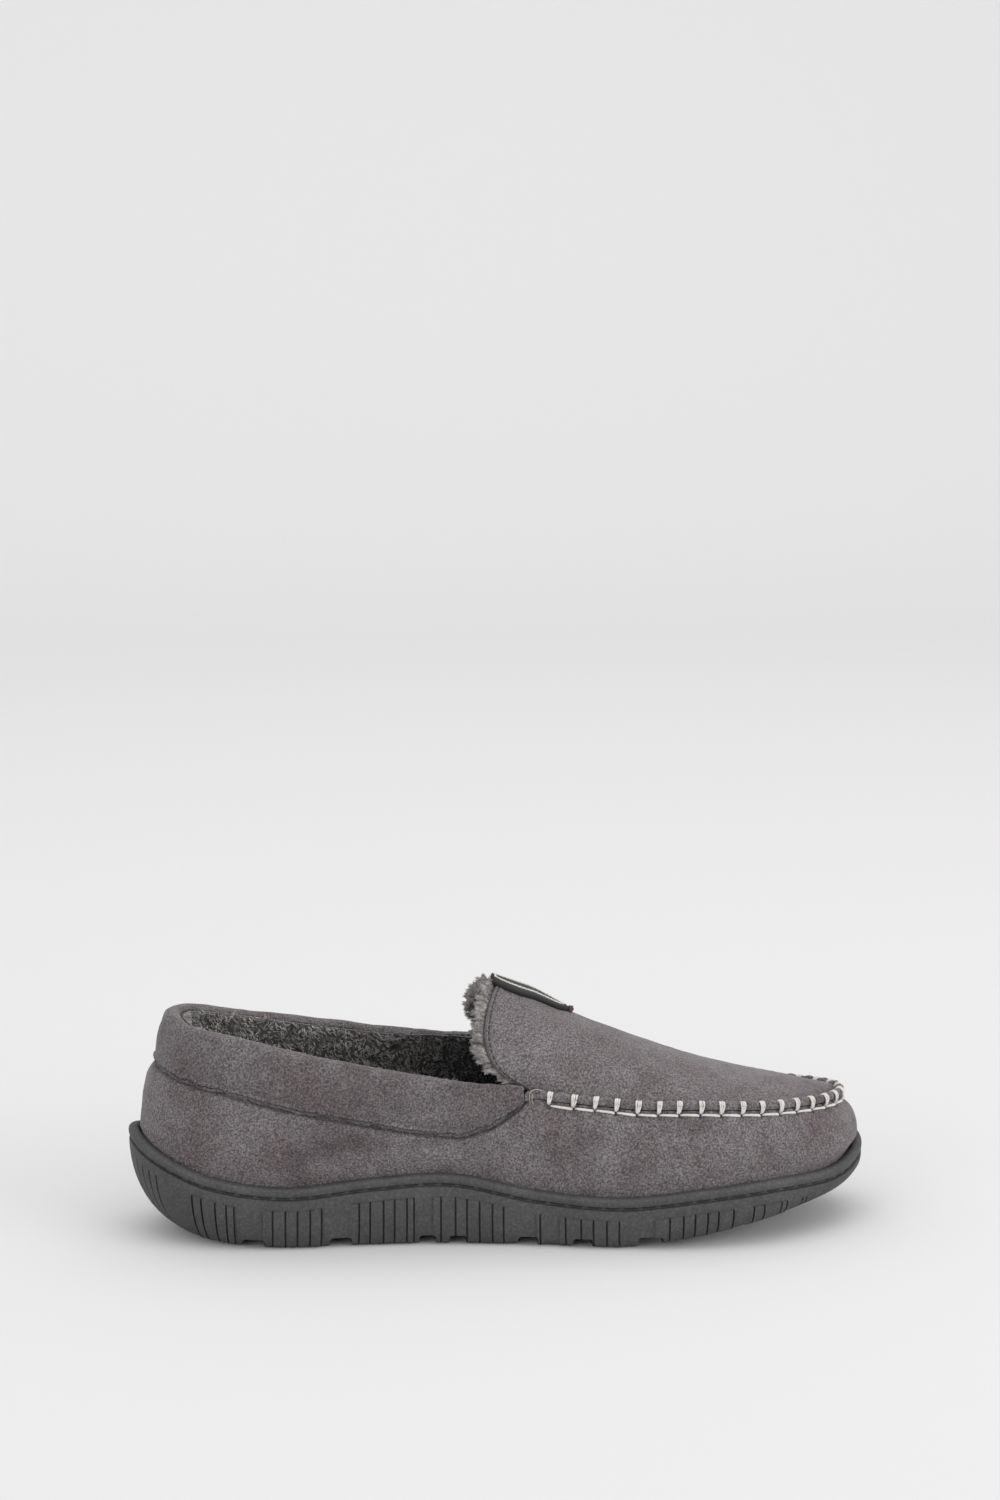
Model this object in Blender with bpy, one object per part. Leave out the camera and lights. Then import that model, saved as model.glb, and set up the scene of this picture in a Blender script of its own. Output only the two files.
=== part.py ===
"""Moccasin house slipper for the left foot, fleece lined, on a moulded rubber cup sole.

Toe along +X, inner side of the foot along -Y, standing on z = 0. Lengths are millimetres
until a mesh is made. Round the shoe, u counts stations: 0 heel, 6 front end of the collar on
the inner side, 12 toe tip, 18 front end of the collar on the outer side, 24 heel again.
"""

import math

import bpy
import numpy as np

for old in list(bpy.data.objects):
    bpy.data.objects.remove(old, do_unlink=True)

MM = 0.001
GAP = 0.3  # clearance between neighbouring pieces
TURN = 24  # stations round the shoe
COLLAR_END = 5.85  # station of the collar's front ends
RIDGE_START = 6.1  # station where the raised seam starts

# Edge of the sole in plan (x, y), height of its lip, upper line of the side wall (x, y, z),
# how far the sole's bottom edge is tucked in, and how much the side wall bulges.
STATIONS = (
    (-150, 0, 44.5, -133.5, 0, 93.5, 30, 0.5),
    (-141, -21, 39.0, -126, -21, 91.5, 26, 1.5),
    (-119, -33, 30.5, -105, -32, 87.0, 15, 3.0),
    (-88, -36, 26.0, -77, -34, 79.5, 8.5, 4.0),
    (-55, -35, 28.5, -48, -34, 72.5, 7.6, 4.0),
    (-22, -36.5, 30.0, -19, -35.5, 68.0, 7.6, 4.0),
    (12, -42, 23.6, 12, -38, 65.0, 7.6, 4.0),
    (45, -49, 21.4, 45, -41.5, 56.8, 7.6, 4.0),
    (78, -52, 24.6, 77, -43, 55.4, 8.5, 4.0),
    (108, -47, 26.6, 105, -39, 53.6, 9.5, 4.0),
    (135, -32, 26.6, 128, -26, 51.6, 11, 4.0),
    (149, -13, 29.5, 140, -11, 50.0, 13, 3.0),
    (152, 3, 32.3, 143, 2, 49.2, 14, 2.5),
    (147.5, 18, 31.5, 138, 15, 47.8, 13, 3.0),
    (131.5, 33, 29.0, 123, 28, 46.8, 11, 4.0),
    (105, 44.5, 28.0, 101, 37, 49.0, 9.5, 4.0),
    (75, 51, 25.4, 74, 42, 51.8, 8.5, 4.0),
    (42, 52, 22.5, 42, 43, 55.4, 7.6, 4.0),
    (8, 49, 24.0, 10, 41.5, 65.3, 7.6, 4.0),
    (-25, 44.5, 28.0, -20, 40.5, 71.2, 7.6, 4.0),
    (-57, 40.5, 27.5, -49, 38.5, 75.5, 7.6, 4.0),
    (-90, 38, 26.5, -77, 36, 80.3, 8.5, 4.0),
    (-120, 34, 31.0, -105, 32, 85.8, 15, 3.0),
    (-141, 22, 39.5, -126, 21, 90.8, 26, 1.5),
)

# Height of the seam under the collar at each station, heel at 0, inner side positive.
COLLAR_SEAM = (
    (-6.0, 62.0), (-5.85, 59.0), (-5.6, 54.0), (-5.3, 49.5), (-5.0, 47.8), (-4, 52.0), (-3, 58.5),
    (-2, 65.5), (-1, 69.5), (0, 70.0), (1, 69.0), (2, 64.3), (3, 56.7), (4, 49.8), (5.0, 45.3),
    (5.3, 47.0), (5.55, 51.0), (5.82, 57.5), (6.0, 61.5),
)
CREST = (
    (-8, 103.0), (0, 101.0), (10, 96.6), (18, 92.6), (26, 88.2), (45, 79.6), (60, 73.8), (75, 68.8),
    (93, 63.4), (110, 59.2), (120, 57.0), (128, 55.2), (136, 53.4), (143, 51.6),
)
# Rear edge of the tongue: share of the way from crest to side, and x.
TONGUE_EDGE = (
    (0, -1.0), (0.23, -5.0), (0.45, -8.5), (0.6, -9.5), (0.75, -7.5), (0.85, -3.0), (0.92, 3.0), (1.0, 10.0),
)
TONGUE_RADIUS = 35.0
TONGUE_CENTRE = 66.0
TONGUE_ANGLE = 98.0  # half of the arc round the instep, in degrees
TONGUE_CORNER_IN = 2.5
TONGUE_SKEW = 5.0  # the edge lies this much further forward on the outer side

# Sole
LIP_WIDTH = 4.0
LIP_HEIGHT = 3.4
GROOVE_DEPTH = 1.7
GROOVE_HEIGHT = 1.7
FLOOR_FORE = 7.0
FLOOR_HEEL = 10.0
CUP_WALL = 3.5
CUP_ROOM = 0.6  # clearance round what stands in the cup, whose wall is curved
TOE_SPRING = 0.185
TOE_SPRING_FROM = 46.0
FLOOR_SPRING = 0.75  # share of the toe spring that the sole's floor follows
TOE_SPRING_EASE = 12.0
MIDSOLE_FORE = 2.5
MIDSOLE_HEEL = 7.0
HEEL_TO_FORE = (-60.0, 10.0)  # the heel's floor falls to the forefoot's between these x
BOARD = 1.6
BOARD_INSET = 3.8
FOAM = 3.5
PILE = 3.5
SOLE_THREAD = 0.5
STROBEL_THREAD = 0.5
STROBEL_INSET = 2.95
STROBEL_RISE = 1.0
CHANNELS = ((-66, 9), (-31, 7), (-19, 7), (9, 8), (30.5, 8), (57.5, 10))  # x and width
CHANNEL_DEPTH = 3.0

# Upper
SUEDE = 1.6
FLEECE = 4.0
WALL_LEVELS = (0, 0.4, 0.85, 1.0)
LINING_DROP_REAR = 3.0  # lining ends this far under the raised seam
LINING_DROP_TOE = 7.0
COUNTER = 1.0
COUNTER_ROOM = 1.5
COUNTER_END = 2.5
LAP = 6.0
RING_DROP = 4.0  # raised seam below the collar's topline where they meet
ROLL = 3.4
ROLL_END = 1.2
ROLL_TAPER_FROM = 4.0
FACING = 1.6
SEAM_ROOM = 2.2  # between the facing's edge and the lining's, where they are sewn
THIN_ROLL = 2.2  # below this radius the collar's suede thins with it
THIN_SHARE = 0.55
PILLOW = 1.2
SEAM_THREAD_END = 5.0
TOPSTITCH = 0.4
TOPSTITCH_ROWS = (2.2, 3.9)  # above the collar seam

# Raised seam
RIDGE_HALF_WIDTH = 1.3
RIDGE_HEIGHT = 3.5
RIDGE_INSET = 0.6
PLUG_INSET = RIDGE_INSET + RIDGE_HALF_WIDTH + GAP
PLUG_LIFT = 0.3
WHIPS = 35
WHIP_THREAD = 0.5

# Tongue
EDGE_THREAD_IN = 2.0
FUR_OUT = 3.0
FUR_UNDER = 4.0
FUR_THICK = 4.0
BADGE_X = 13.5
BADGE_HALF = (17.5, 8.5)
BADGE_LIFT = 1.6
BADGE_THICK = 1.6
BORDER_THICK = 0.5

HALVES = [i / 2 for i in range(TURN + 1)]
EXTRA = (5.25, 5.7, COLLAR_END, RIDGE_START)
NEAR = sorted(HALVES + list(EXTRA))
ROUND = NEAR[:-1] + [TURN - u for u in reversed(NEAR) if u > 0]


def unit(vector):
    return vector / np.linalg.norm(vector)


def blend(low, high, value):
    """0 below low, 1 above high, smooth between."""
    t = min(1.0, max(0.0, (value - low) / (high - low)))
    return t * t * (3 - 2 * t)


def smooth(table, x):
    """Height of the smooth curve through the table's (x, height) rows."""
    xs = [row[0] for row in table]
    ys = [row[1] for row in table]
    i = min(max(int(np.searchsorted(xs, x)) - 1, 0), len(xs) - 2)
    span = xs[i + 1] - xs[i]
    slopes = []
    for k in (i, i + 1):
        a = max(k - 1, 0)
        b = min(k + 1, len(xs) - 1)
        slopes.append((ys[b] - ys[a]) / (xs[b] - xs[a]) * span)
    t = min(max((x - xs[i]) / span, 0.0), 1.0)
    h = t * t * (3 - 2 * t)
    return ys[i] * (1 - h) + ys[i + 1] * h + slopes[0] * t * (1 - t) ** 2 - slopes[1] * t * t * (1 - t)


def station(u):
    """All columns of the station table at u, on a smooth closed curve."""
    i = math.floor(u)
    t = u - i
    p0, p1, p2, p3 = (np.array(STATIONS[(i + k) % TURN], float) for k in (-1, 0, 1, 2))
    return 0.5 * (
        2 * p1 + (p2 - p0) * t + (2 * p0 - 5 * p1 + 4 * p2 - p3) * t**2 + (3 * p1 - p0 - 3 * p2 + p3) * t**3
    )


def plan_normal(u):
    d = station(u + 0.01)[:2] - station(u - 0.01)[:2]
    return unit(np.array([d[1], -d[0], 0.0]))


def ring(u, inset, z):
    """Point at height z, this far inside the edge of the sole."""
    x, y = station(u)[:2]
    return np.array([x, y, 0.0]) - inset * plan_normal(u) + np.array([0.0, 0.0, z])


def lip(u):
    return station(u)[2]


def ground(x):
    """Height of the sole's underside: flat, then the toe spring."""
    d = max(0.0, x - TOE_SPRING_FROM)
    return TOE_SPRING * d * d / (d + TOE_SPRING_EASE)


def fore_share(x):
    return blend(HEEL_TO_FORE[0], HEEL_TO_FORE[1], x)


def floor_z(x):
    f = fore_share(x)
    return FLOOR_SPRING * ground(x) + FLOOR_HEEL * (1 - f) + FLOOR_FORE * f


def midsole_top(x):
    f = fore_share(x)
    return floor_z(x) + GAP + MIDSOLE_HEEL * (1 - f) + MIDSOLE_FORE * f


def side_of_sole(u, angle):
    """Point on the sole's side, from under the groove (0) round to the bottom (90 degrees)."""
    row = station(u)
    tuck = row[6]
    low = ground(row[0])
    high = row[2] - LIP_HEIGHT - GROOVE_HEIGHT - 0.4
    power = 2 / (2 + 0.9 * blend(20, 8, tuck))
    c = max(math.cos(math.radians(angle)), 0.0) ** power
    s = math.sin(math.radians(angle)) ** power
    return ring(u, 0.2 + tuck * (1 - c), high + (low - high) * s)


def tuck_at(u, z):
    """How far in the sole's side is at height z."""
    angles = range(0, 91, 5)
    points = [side_of_sole(u, a) for a in angles]
    edge = ring(u, 0, 0)
    insets = [math.hypot(p[0] - edge[0], p[1] - edge[1]) for p in points]
    return float(np.interp(-z, [-p[2] for p in points], insets))


def cup(u, z, clearance=0.0):
    """Point on the inner face of the cup sole, or this far inside it."""
    foot = floor_z(station(u)[0])
    top = lip(u)
    low = CUP_WALL + tuck_at(u, foot)
    share = (z - foot) / (top - foot)
    return ring(u, low + (LIP_WIDTH - low) * share + clearance, z)


def wall(u, t):
    """Outer face of the upper, from the lip (0) to its upper line (1)."""
    row = station(u)
    a = ring(u, LIP_WIDTH + CUP_ROOM, row[2])
    b = row[3:6]
    out = plan_normal(u) * row[7]
    p1 = a + (b - a) / 3 + out
    p2 = a + (b - a) * 2 / 3 + out * 0.8
    return a * (1 - t) ** 3 + 3 * p1 * t * (1 - t) ** 2 + 3 * p2 * t * t * (1 - t) + b * t**3


def wall_up(u, t):
    return unit(wall(u, t + 0.01) - wall(u, t - 0.01))


def wall_normal(u, t):
    along = wall(u + 0.02, t) - wall(u - 0.02, t)
    return unit(np.cross(along, wall_up(u, t)))


def signed(u):
    return u if u <= TURN / 2 else u - TURN


def has_collar(u):
    return abs(signed(u)) < COLLAR_END + 0.01


def seam_t(u):
    """Where up the wall the collar seam, or at the front the raised seam, lies."""
    if has_collar(u):
        height = smooth(COLLAR_SEAM, signed(u))
    else:
        height = station(u)[5] - RING_DROP * (1 - blend(6, 7, min(u, TURN - u)))
    ts = np.linspace(0, 1, 41)
    return float(np.interp(height, [wall(u, t)[2] for t in ts], ts))


def skin(u, s, offset=0.0):
    """s: 0 at the lip, 1 at the seam, 2 at the topline; offset along the outward normal."""
    ts = seam_t(u)
    t = ts * s if s <= 1 else ts + (1 - ts) * (s - 1)
    return wall(u, t) + offset * wall_normal(u, t)


def wall_height(u):
    return np.linalg.norm(wall(u, seam_t(u)) - wall(u, 0))


def collar_height(u):
    return np.linalg.norm(wall(u, 1) - wall(u, seam_t(u)))


def roll(u):
    """Half the thickness of the collar at its top."""
    return ROLL + (ROLL_END - ROLL) * blend(ROLL_TAPER_FROM, COLLAR_END, abs(signed(u)))


def pillow(s):
    return PILLOW * math.sin(math.pi * (s - 1))


def make(name, points, faces, colour, roughness):
    """One object in metres, with its own material."""
    mesh = bpy.data.meshes.new(name)
    mesh.from_pydata([tuple(float(c) * MM for c in p) for p in points], [], faces)
    corners = np.array([v.co[:] for v in mesh.vertices])
    mesh.calc_loop_triangles()
    volume = sum(np.linalg.det(corners[list(tri.vertices)]) for tri in mesh.loop_triangles)
    if volume < 0:
        mesh.flip_normals()
    obj = bpy.data.objects.new(name, mesh)
    bpy.context.scene.collection.objects.link(obj)
    material = bpy.data.materials.new(name)
    material.use_nodes = True
    shader = material.node_tree.nodes["Principled BSDF"]
    shader.inputs["Base Color"].default_value = (*colour, 1)
    shader.inputs["Roughness"].default_value = roughness
    shader.inputs["Metallic"].default_value = 0.0
    mesh.materials.append(material)
    mesh.shade_smooth()
    mesh.set_sharp_from_angle(angle=math.radians(40))
    return obj


def halves(points, quad):
    """The quad as two triangles, split along its shorter diagonal."""
    a, b, c, d = quad
    if np.linalg.norm(points[a] - points[c]) <= np.linalg.norm(points[b] - points[d]):
        return [(a, b, c), (a, c, d)]
    return [(a, b, d), (b, c, d)]


def loft(name, sections, colour, roughness, closed=False):
    """Closed outlines joined one to the next; the ends are capped unless it closes on itself."""
    count = len(sections)
    size = len(sections[0])
    points = [p for section in sections for p in section]
    faces = []
    for i in range(count if closed else count - 1):
        a = i * size
        b = (i + 1) % count * size
        for j in range(size):
            k = (j + 1) % size
            faces += halves(points, (a + j, a + k, b + k, b + j))
    if not closed:
        faces.append(tuple(reversed(range(size))))
        faces.append(tuple(range((count - 1) * size, count * size)))
    return make(name, points, faces, colour, roughness)


def ladder(start, count):
    """Faces that fill a loop by rungs from one side of the shoe to the other."""
    half = count // 2
    faces = [(start, start + 1, start + count - 1)]
    for i in range(1, half - 1):
        faces.append((start + i, start + i + 1, start + count - i - 1, start + count - i))
    faces.append((start + half - 1, start + half, start + half + 1))
    return faces


def stack(name, loops, colour, roughness):
    """Loops round the shoe joined one to the next, with the first and the last filled."""
    size = len(loops[0])
    points = [p for loop in loops for p in loop]
    faces = [tuple(reversed(face)) for face in ladder(0, size)]
    for i in range(len(loops) - 1):
        for j in range(size):
            k = (j + 1) % size
            a = i * size
            faces += halves(points, (a + j, a + k, a + size + k, a + size + j))
    faces += ladder((len(loops) - 1) * size, size)
    return make(name, points, faces, colour, roughness)


def slab(name, upper, lower, colour, roughness):
    """A sheet with thickness: two grids of the same size joined round their edges."""
    rows = len(upper)
    cols = len(upper[0])
    points = [p for row in upper for p in row] + [p for row in lower for p in row]
    below = rows * cols
    faces = []
    for i in range(rows - 1):
        for j in range(cols - 1):
            a = i * cols + j
            for corners in halves(points, (a, a + 1, a + cols + 1, a + cols)):
                faces.append(corners)
                faces.append(tuple(below + k for k in reversed(corners)))
    rim = list(range(cols))
    rim += [i * cols + cols - 1 for i in range(1, rows)]
    rim += [(rows - 1) * cols + j for j in range(cols - 2, -1, -1)]
    rim += [i * cols for i in range(rows - 2, 0, -1)]
    for a, b in zip(rim, rim[1:] + rim[:1]):
        faces.append((b, a, below + a, below + b))
    return make(name, points, faces, colour, roughness)


def tube(name, path, sides, radius, colour, roughness, closed=False):
    """A thread along a path; side gives a direction square to it at each point."""
    sections = []
    count = len(path)
    for i, (point, side) in enumerate(zip(path, sides)):
        before = path[i - 1] if closed or i > 0 else point
        after = path[(i + 1) % count] if closed or i < count - 1 else point
        along = unit(after - before)
        a = unit(side - along * np.dot(side, along))
        b = np.cross(along, a)
        sections.append([point + radius * (a * c + b * s) for c, s in ((1, 0), (0, 1), (-1, 0), (0, -1))])
    return loft(name, sections, colour, roughness, closed)


RUBBER = (0.045, 0.045, 0.048)
SUEDE_COLOUR = (0.105, 0.097, 0.099)
FLEECE_COLOUR = (0.075, 0.073, 0.075)
FUR_COLOUR = (0.23, 0.22, 0.22)
BLACK = (0.012, 0.012, 0.013)
WHITE = (0.75, 0.73, 0.70)

# Cup sole: floor, cup wall, lip, stitch groove, side, underside.
LIP_PROFILE = (
    (LIP_WIDTH, -0.7), (2.4, 0.0), (0.7, -0.4), (0.0, -1.6), (0.2, -LIP_HEIGHT + 0.3),
    (GROOVE_DEPTH, -LIP_HEIGHT), (GROOVE_DEPTH, -LIP_HEIGHT - GROOVE_HEIGHT),
)
sole_loops = [[cup(u, floor_z(station(u)[0])) for u in ROUND]]
for inset, drop in LIP_PROFILE:
    sole_loops.append([ring(u, inset, lip(u) + drop) for u in ROUND])
for angle in (0, 28, 52, 72, 90):
    sole_loops.append([side_of_sole(u, angle) for u in ROUND])
outsole = stack("outsole", sole_loops, RUBBER, 0.6)
for number, (x, width) in enumerate(CHANNELS):
    bpy.ops.mesh.primitive_cube_add(size=1)
    cutter = bpy.context.object
    cutter.name = f"channel_cutter_{number}"
    cutter.scale = (width * MM, 130 * MM, 2 * CHANNEL_DEPTH * MM)
    cutter.location = (x * MM, 0, ground(x) * MM)
    cutter.hide_render = True
    cutter.display_type = "WIRE"
    cut = outsole.modifiers.new(cutter.name, "BOOLEAN")
    cut.operation = "DIFFERENCE"
    cut.solver = "EXACT"
    cut.object = cutter

# Thread in the groove round the sole
thread_drop = -LIP_HEIGHT - GROOVE_HEIGHT / 2
thread_path = [ring(u, GROOVE_DEPTH - GAP - SOLE_THREAD, lip(u) + thread_drop) for u in ROUND]
tube("sole_stitch_thread", thread_path, [plan_normal(u) for u in ROUND], SOLE_THREAD, BLACK, 0.8, True)


def board_top(x):
    return midsole_top(x) + GAP + BOARD


def foam_top(x):
    return board_top(x) + GAP + FOAM


def counter_share(u):
    return 1 - blend(COUNTER_END, COUNTER_END + 0.5, abs(signed(u)))


def lining_face(u):
    """Offset of the lining's outer face from the outer face of the upper."""
    return -SUEDE - GAP - COUNTER_ROOM * counter_share(u)


def inside_lining(u):
    return CUP_ROOM - lining_face(u) + FLEECE + 2 * GAP


def layer(name, bottom, top, clearance, colour, roughness):
    """A layer inside the cup; bottom and top give its heights at x, clearance its inset at u."""
    loops = []
    for height in (bottom, top):
        loops.append([cup(u, height(station(u)[0]), clearance(u)) for u in ROUND])
    return stack(name, loops, colour, roughness)


layer("midsole_wedge", lambda x: floor_z(x) + GAP, midsole_top, lambda u: CUP_ROOM, (0.35, 0.35, 0.36), 0.8)
layer("insole_board", lambda x: midsole_top(x) + GAP, board_top, lambda u: BOARD_INSET,
      (0.55, 0.47, 0.36), 0.8)
layer("insole_foam", lambda x: board_top(x) + GAP, foam_top, inside_lining, (0.6, 0.58, 0.5), 0.9)
layer("sock_pile", lambda x: foam_top(x) + GAP, lambda x: foam_top(x) + GAP + PILE,
      inside_lining, FLEECE_COLOUR, 1.0)

strobel_path = [cup(u, midsole_top(station(u)[0]) + STROBEL_RISE, STROBEL_INSET) for u in ROUND]
strobel_sides = [plan_normal(u) for u in ROUND]
tube("strobel_thread", strobel_path, strobel_sides, STROBEL_THREAD, (0.6, 0.58, 0.55), 0.8, True)

# Side wall of the upper: from inside the cup up to the collar seam, lapping behind the collar.
WALL_FACE = [(s, 0.0) for s in WALL_LEVELS[:-1]]
wall_sections = []
for u in ROUND:
    foot = midsole_top(station(u)[0]) + GAP
    turn_in = 1 - 1.5 / wall_height(u)
    if has_collar(u):
        lap = min(LAP, 0.3 * collar_height(u)) / collar_height(u)
        edge = [(turn_in, 0.0), (1.0, -SUEDE - GAP), (1.0 + lap, -SUEDE - GAP + pillow(1 + lap))]
    else:
        edge = [(turn_in, 0.0), ((1 + turn_in) / 2, 0.0), (1.0, 0.0)]
    outer = [cup(u, foot, CUP_ROOM)] + [skin(u, s, off) for s, off in WALL_FACE + edge]
    inner = [cup(u, foot, CUP_ROOM + SUEDE)]
    inner += [skin(u, s, off - SUEDE) for s, off in WALL_FACE + edge]
    wall_sections.append(outer + inner[::-1])
loft("side_wall", wall_sections, SUEDE_COLOUR, 0.95, True)

REAR = [u - TURN for u in ROUND if u > TURN / 2 and has_collar(u)]
REAR += [u for u in ROUND if u < TURN / 2 and has_collar(u)]


counter_sections = []
counter_face = -SUEDE - (COUNTER_ROOM + GAP - COUNTER) / 2
for u in [v for v in REAR if abs(v) <= COUNTER_END]:
    counter_sections.append(
        [skin(u, s, counter_face) for s in WALL_LEVELS[:-1]]
        + [skin(u, s, counter_face - COUNTER) for s in WALL_LEVELS[-2::-1]]
    )
loft("heel_counter", counter_sections, (0.5, 0.42, 0.32), 0.8)


def facing_end(u):
    """Level of the lower edge of the collar's facing inside the shoe."""
    height = collar_height(u)
    return 2 - (roll(u) + min(FACING, 0.3 * height)) / height


BEHIND_LAP = -2 * (SUEDE + GAP) - 0.1
quarter = []
for u in REAR:
    top = max(facing_end(u) - SEAM_ROOM / collar_height(u), 1.05)
    foot = board_top(station(u)[0]) + GAP
    face = lining_face(u)
    levels = [(s, face) for s in WALL_LEVELS[:-1]]
    levels += [(1.0, BEHIND_LAP), (top, min(BEHIND_LAP, SUEDE - 2 * roll(u)))]
    outer = [cup(u, foot, CUP_ROOM - face)] + [skin(u, s, off) for s, off in levels]
    inner = [cup(u, foot, CUP_ROOM - face + FLEECE)] + [skin(u, s, off - FLEECE) for s, off in levels]
    quarter.append(outer + inner[::-1])
loft("quarter_lining", quarter, FLEECE_COLOUR, 1.0)

FORE = [u for u in ROUND if RIDGE_START <= u <= TURN - RIDGE_START]


def on_wall(u, s, offset):
    """As skin, on the straight runs between the side wall's levels."""
    i = max(k for k in range(len(WALL_LEVELS) - 1) if WALL_LEVELS[k] <= s)
    low, high = WALL_LEVELS[i], WALL_LEVELS[i + 1]
    a = skin(u, low, offset)
    return a + (skin(u, high, offset) - a) * (s - low) / (high - low)


fore_lining = []
for u in FORE:
    foot = board_top(station(u)[0]) + GAP
    face = lining_face(u)
    drop = LINING_DROP_REAR + (LINING_DROP_TOE - LINING_DROP_REAR) * blend(7, 10.5, min(u, TURN - u))
    top = 1 - drop / wall_height(u)
    levels = (0, WALL_LEVELS[1], (WALL_LEVELS[1] + top) / 2, top)
    outer = [cup(u, foot, CUP_ROOM - face)] + [on_wall(u, s, face) for s in levels]
    inner = [cup(u, foot, CUP_ROOM - face + FLEECE)] + [on_wall(u, s, face - FLEECE) for s in levels]
    fore_lining.append(outer + inner[::-1])
loft("vamp_lining", fore_lining, FLEECE_COLOUR, 1.0)


# Collar: suede folded over foam, its facing stitched to the lining inside.
def folded(u, inset, start, end, end_offset):
    """Outline up the outside, over the top and down the inside, this far under the skin."""
    radius = roll(u)
    turn = 2 - radius / collar_height(u)
    levels = [start + (turn - start) * k / 3 for k in range(3)]
    path = [skin(u, s, pillow(s) - inset) for s in levels]
    top_t = seam_t(u) + (1 - seam_t(u)) * (turn - 1)
    normal = wall_normal(u, top_t)
    up = wall_up(u, top_t)
    centre = wall(u, top_t) - radius * normal
    swell = pillow(turn)
    for angle in (0, 40, 90, 140, 180):
        c = math.cos(math.radians(angle))
        s = math.sin(math.radians(angle))
        reach = radius - inset + swell * max(c, 0)
        path.append(centre + reach * c * normal + (radius - inset) * s * up)
    path.append(skin(u, end, end_offset))
    return path


collar_sections = []
foam_sections = []
seam_thread_path = []
seam_thread_sides = []
for u in REAR:
    height = collar_height(u)
    end = facing_end(u)
    start = 1 + 0.4 / height
    inside = -2 * roll(u)
    thick = SUEDE if roll(u) > THIN_ROLL else THIN_SHARE * roll(u)
    outer = folded(u, 0.0, start, end, inside)
    inner = folded(u, thick, start, end, inside + thick)
    collar_sections.append(outer + inner[::-1])
    if abs(u) <= SEAM_THREAD_END:
        seam_thread_path.append(skin(u, end - 1.1 / height, inside + 0.6))
        seam_thread_sides.append(wall_up(u, 1))
loft("collar_band", collar_sections, SUEDE_COLOUR, 0.95)
FOAMED = [u for u in REAR if abs(u) <= 5.0]
for u in FOAMED:
    height = collar_height(u)
    start = 1 + (LAP + 0.6) / height
    outer = folded(u, SUEDE + GAP, start, facing_end(u), -2 * roll(u) + SUEDE + GAP)
    tail = skin(u, start, -2 * roll(u) + SUEDE + 1.6)
    foam_sections.append(outer + [tail])
loft("collar_foam", foam_sections, (0.62, 0.6, 0.5), 0.9)
tube("lining_seam_thread", seam_thread_path, seam_thread_sides, 0.35, BLACK, 0.8)
for name, rise in zip(("collar_topstitch_lower", "collar_topstitch_upper"), TOPSTITCH_ROWS):
    path = []
    sides = []
    for u in REAR:
        s = 1 + min(rise, 0.3 * rise / TOPSTITCH_ROWS[1] * collar_height(u)) / collar_height(u)
        path.append(skin(u, s, pillow(s) + GAP + 0.15 + TOPSTITCH))
        sides.append(skin(u, s, 1) - skin(u, s))
    tube(name, path, sides, TOPSTITCH, BLACK, 0.8)


# Plug over the instep: chords across the raised seam, then the tongue behind it.
def top_ring(u, inward, lift):
    return wall(u, seam_t(u)) - inward * plan_normal(u) + np.array([0.0, 0.0, lift])


def chord(u, v):
    """Point on the plug's outer face on the chord from u to its opposite, v from -1 to 1."""
    a = top_ring(u, PLUG_INSET, PLUG_LIFT)
    b = top_ring(TURN - u, PLUG_INSET, PLUG_LIFT)
    half = np.linalg.norm(b - a) / 2
    middle = (a + b) / 2
    rise = max(smooth(CREST, middle[0]) - middle[2], 0.3)
    radius = (half**2 + rise**2) / (2 * rise)
    widest = math.asin(min(half / radius, 1.0))
    across = math.sin(v * widest) / math.sin(widest)
    lift = radius * (math.cos(v * widest) - math.cos(widest))
    return middle + (b - a) / 2 * across + np.array([0.0, 0.0, lift]), v * widest


def edge_point(v):
    """Rear edge of the tongue."""
    angle = v * math.radians(TONGUE_ANGLE)
    corner = max(0.0, (abs(v) - 0.8) / 0.2)
    radius = TONGUE_RADIUS - TONGUE_CORNER_IN * corner
    return np.array([
        smooth(TONGUE_EDGE, abs(v)) + TONGUE_SKEW * max(v, 0.0) * (1 - corner),
        radius * math.sin(angle),
        TONGUE_CENTRE + radius * math.cos(angle),
    ]), angle


SLOPE_FORE = 0.15
SLOPE_REAR = 0.5


def plug(row, v, offset=0.0):
    """row 0 is the tongue's edge, 1 the chord at the start of the raised seam, then the toe at 2."""
    if row <= 1:
        a, a_angle = edge_point(v)
        b, b_angle = chord(RIDGE_START, v)
        point = a + (b - a) * row
        angle = a_angle + (b_angle - a_angle) * row
        slope = SLOPE_REAR
    else:
        u = RIDGE_START + (11.5 - RIDGE_START) * (row - 1)
        point, angle = chord(u, v)
        slope = SLOPE_REAR + (SLOPE_FORE - SLOPE_REAR) * min(1, 2 * (row - 1))
    normal = unit(np.array([slope * math.cos(angle), math.sin(angle), math.cos(angle)]))
    return point + offset * normal


COLUMNS = [-1 + k / 6 for k in range(13)]
FORE_ROWS = [1 + (u - RIDGE_START) / (11.5 - RIDGE_START) for u in NEAR if RIDGE_START < u <= 11.5]


def edge_row(v, distance):
    """Row this far in front of the tongue's edge."""
    span = np.linalg.norm(plug(1, v) - plug(0, v))
    return min(distance / span, 0.3)


def plug_grid(offset, first):
    """Grid of points; the first row is this far in front of the tongue's edge."""
    grid = []
    if first == 0:
        grid.append([plug(0, v, offset) for v in COLUMNS])
        grid.append([plug(edge_row(v, EDGE_THREAD_IN), v, offset) for v in COLUMNS])
    else:
        grid.append([plug(edge_row(v, first), v, offset) for v in COLUMNS])
    for row in [0.6, 1] + FORE_ROWS:
        grid.append([plug(row, v, offset) for v in COLUMNS])
    return grid


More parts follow.
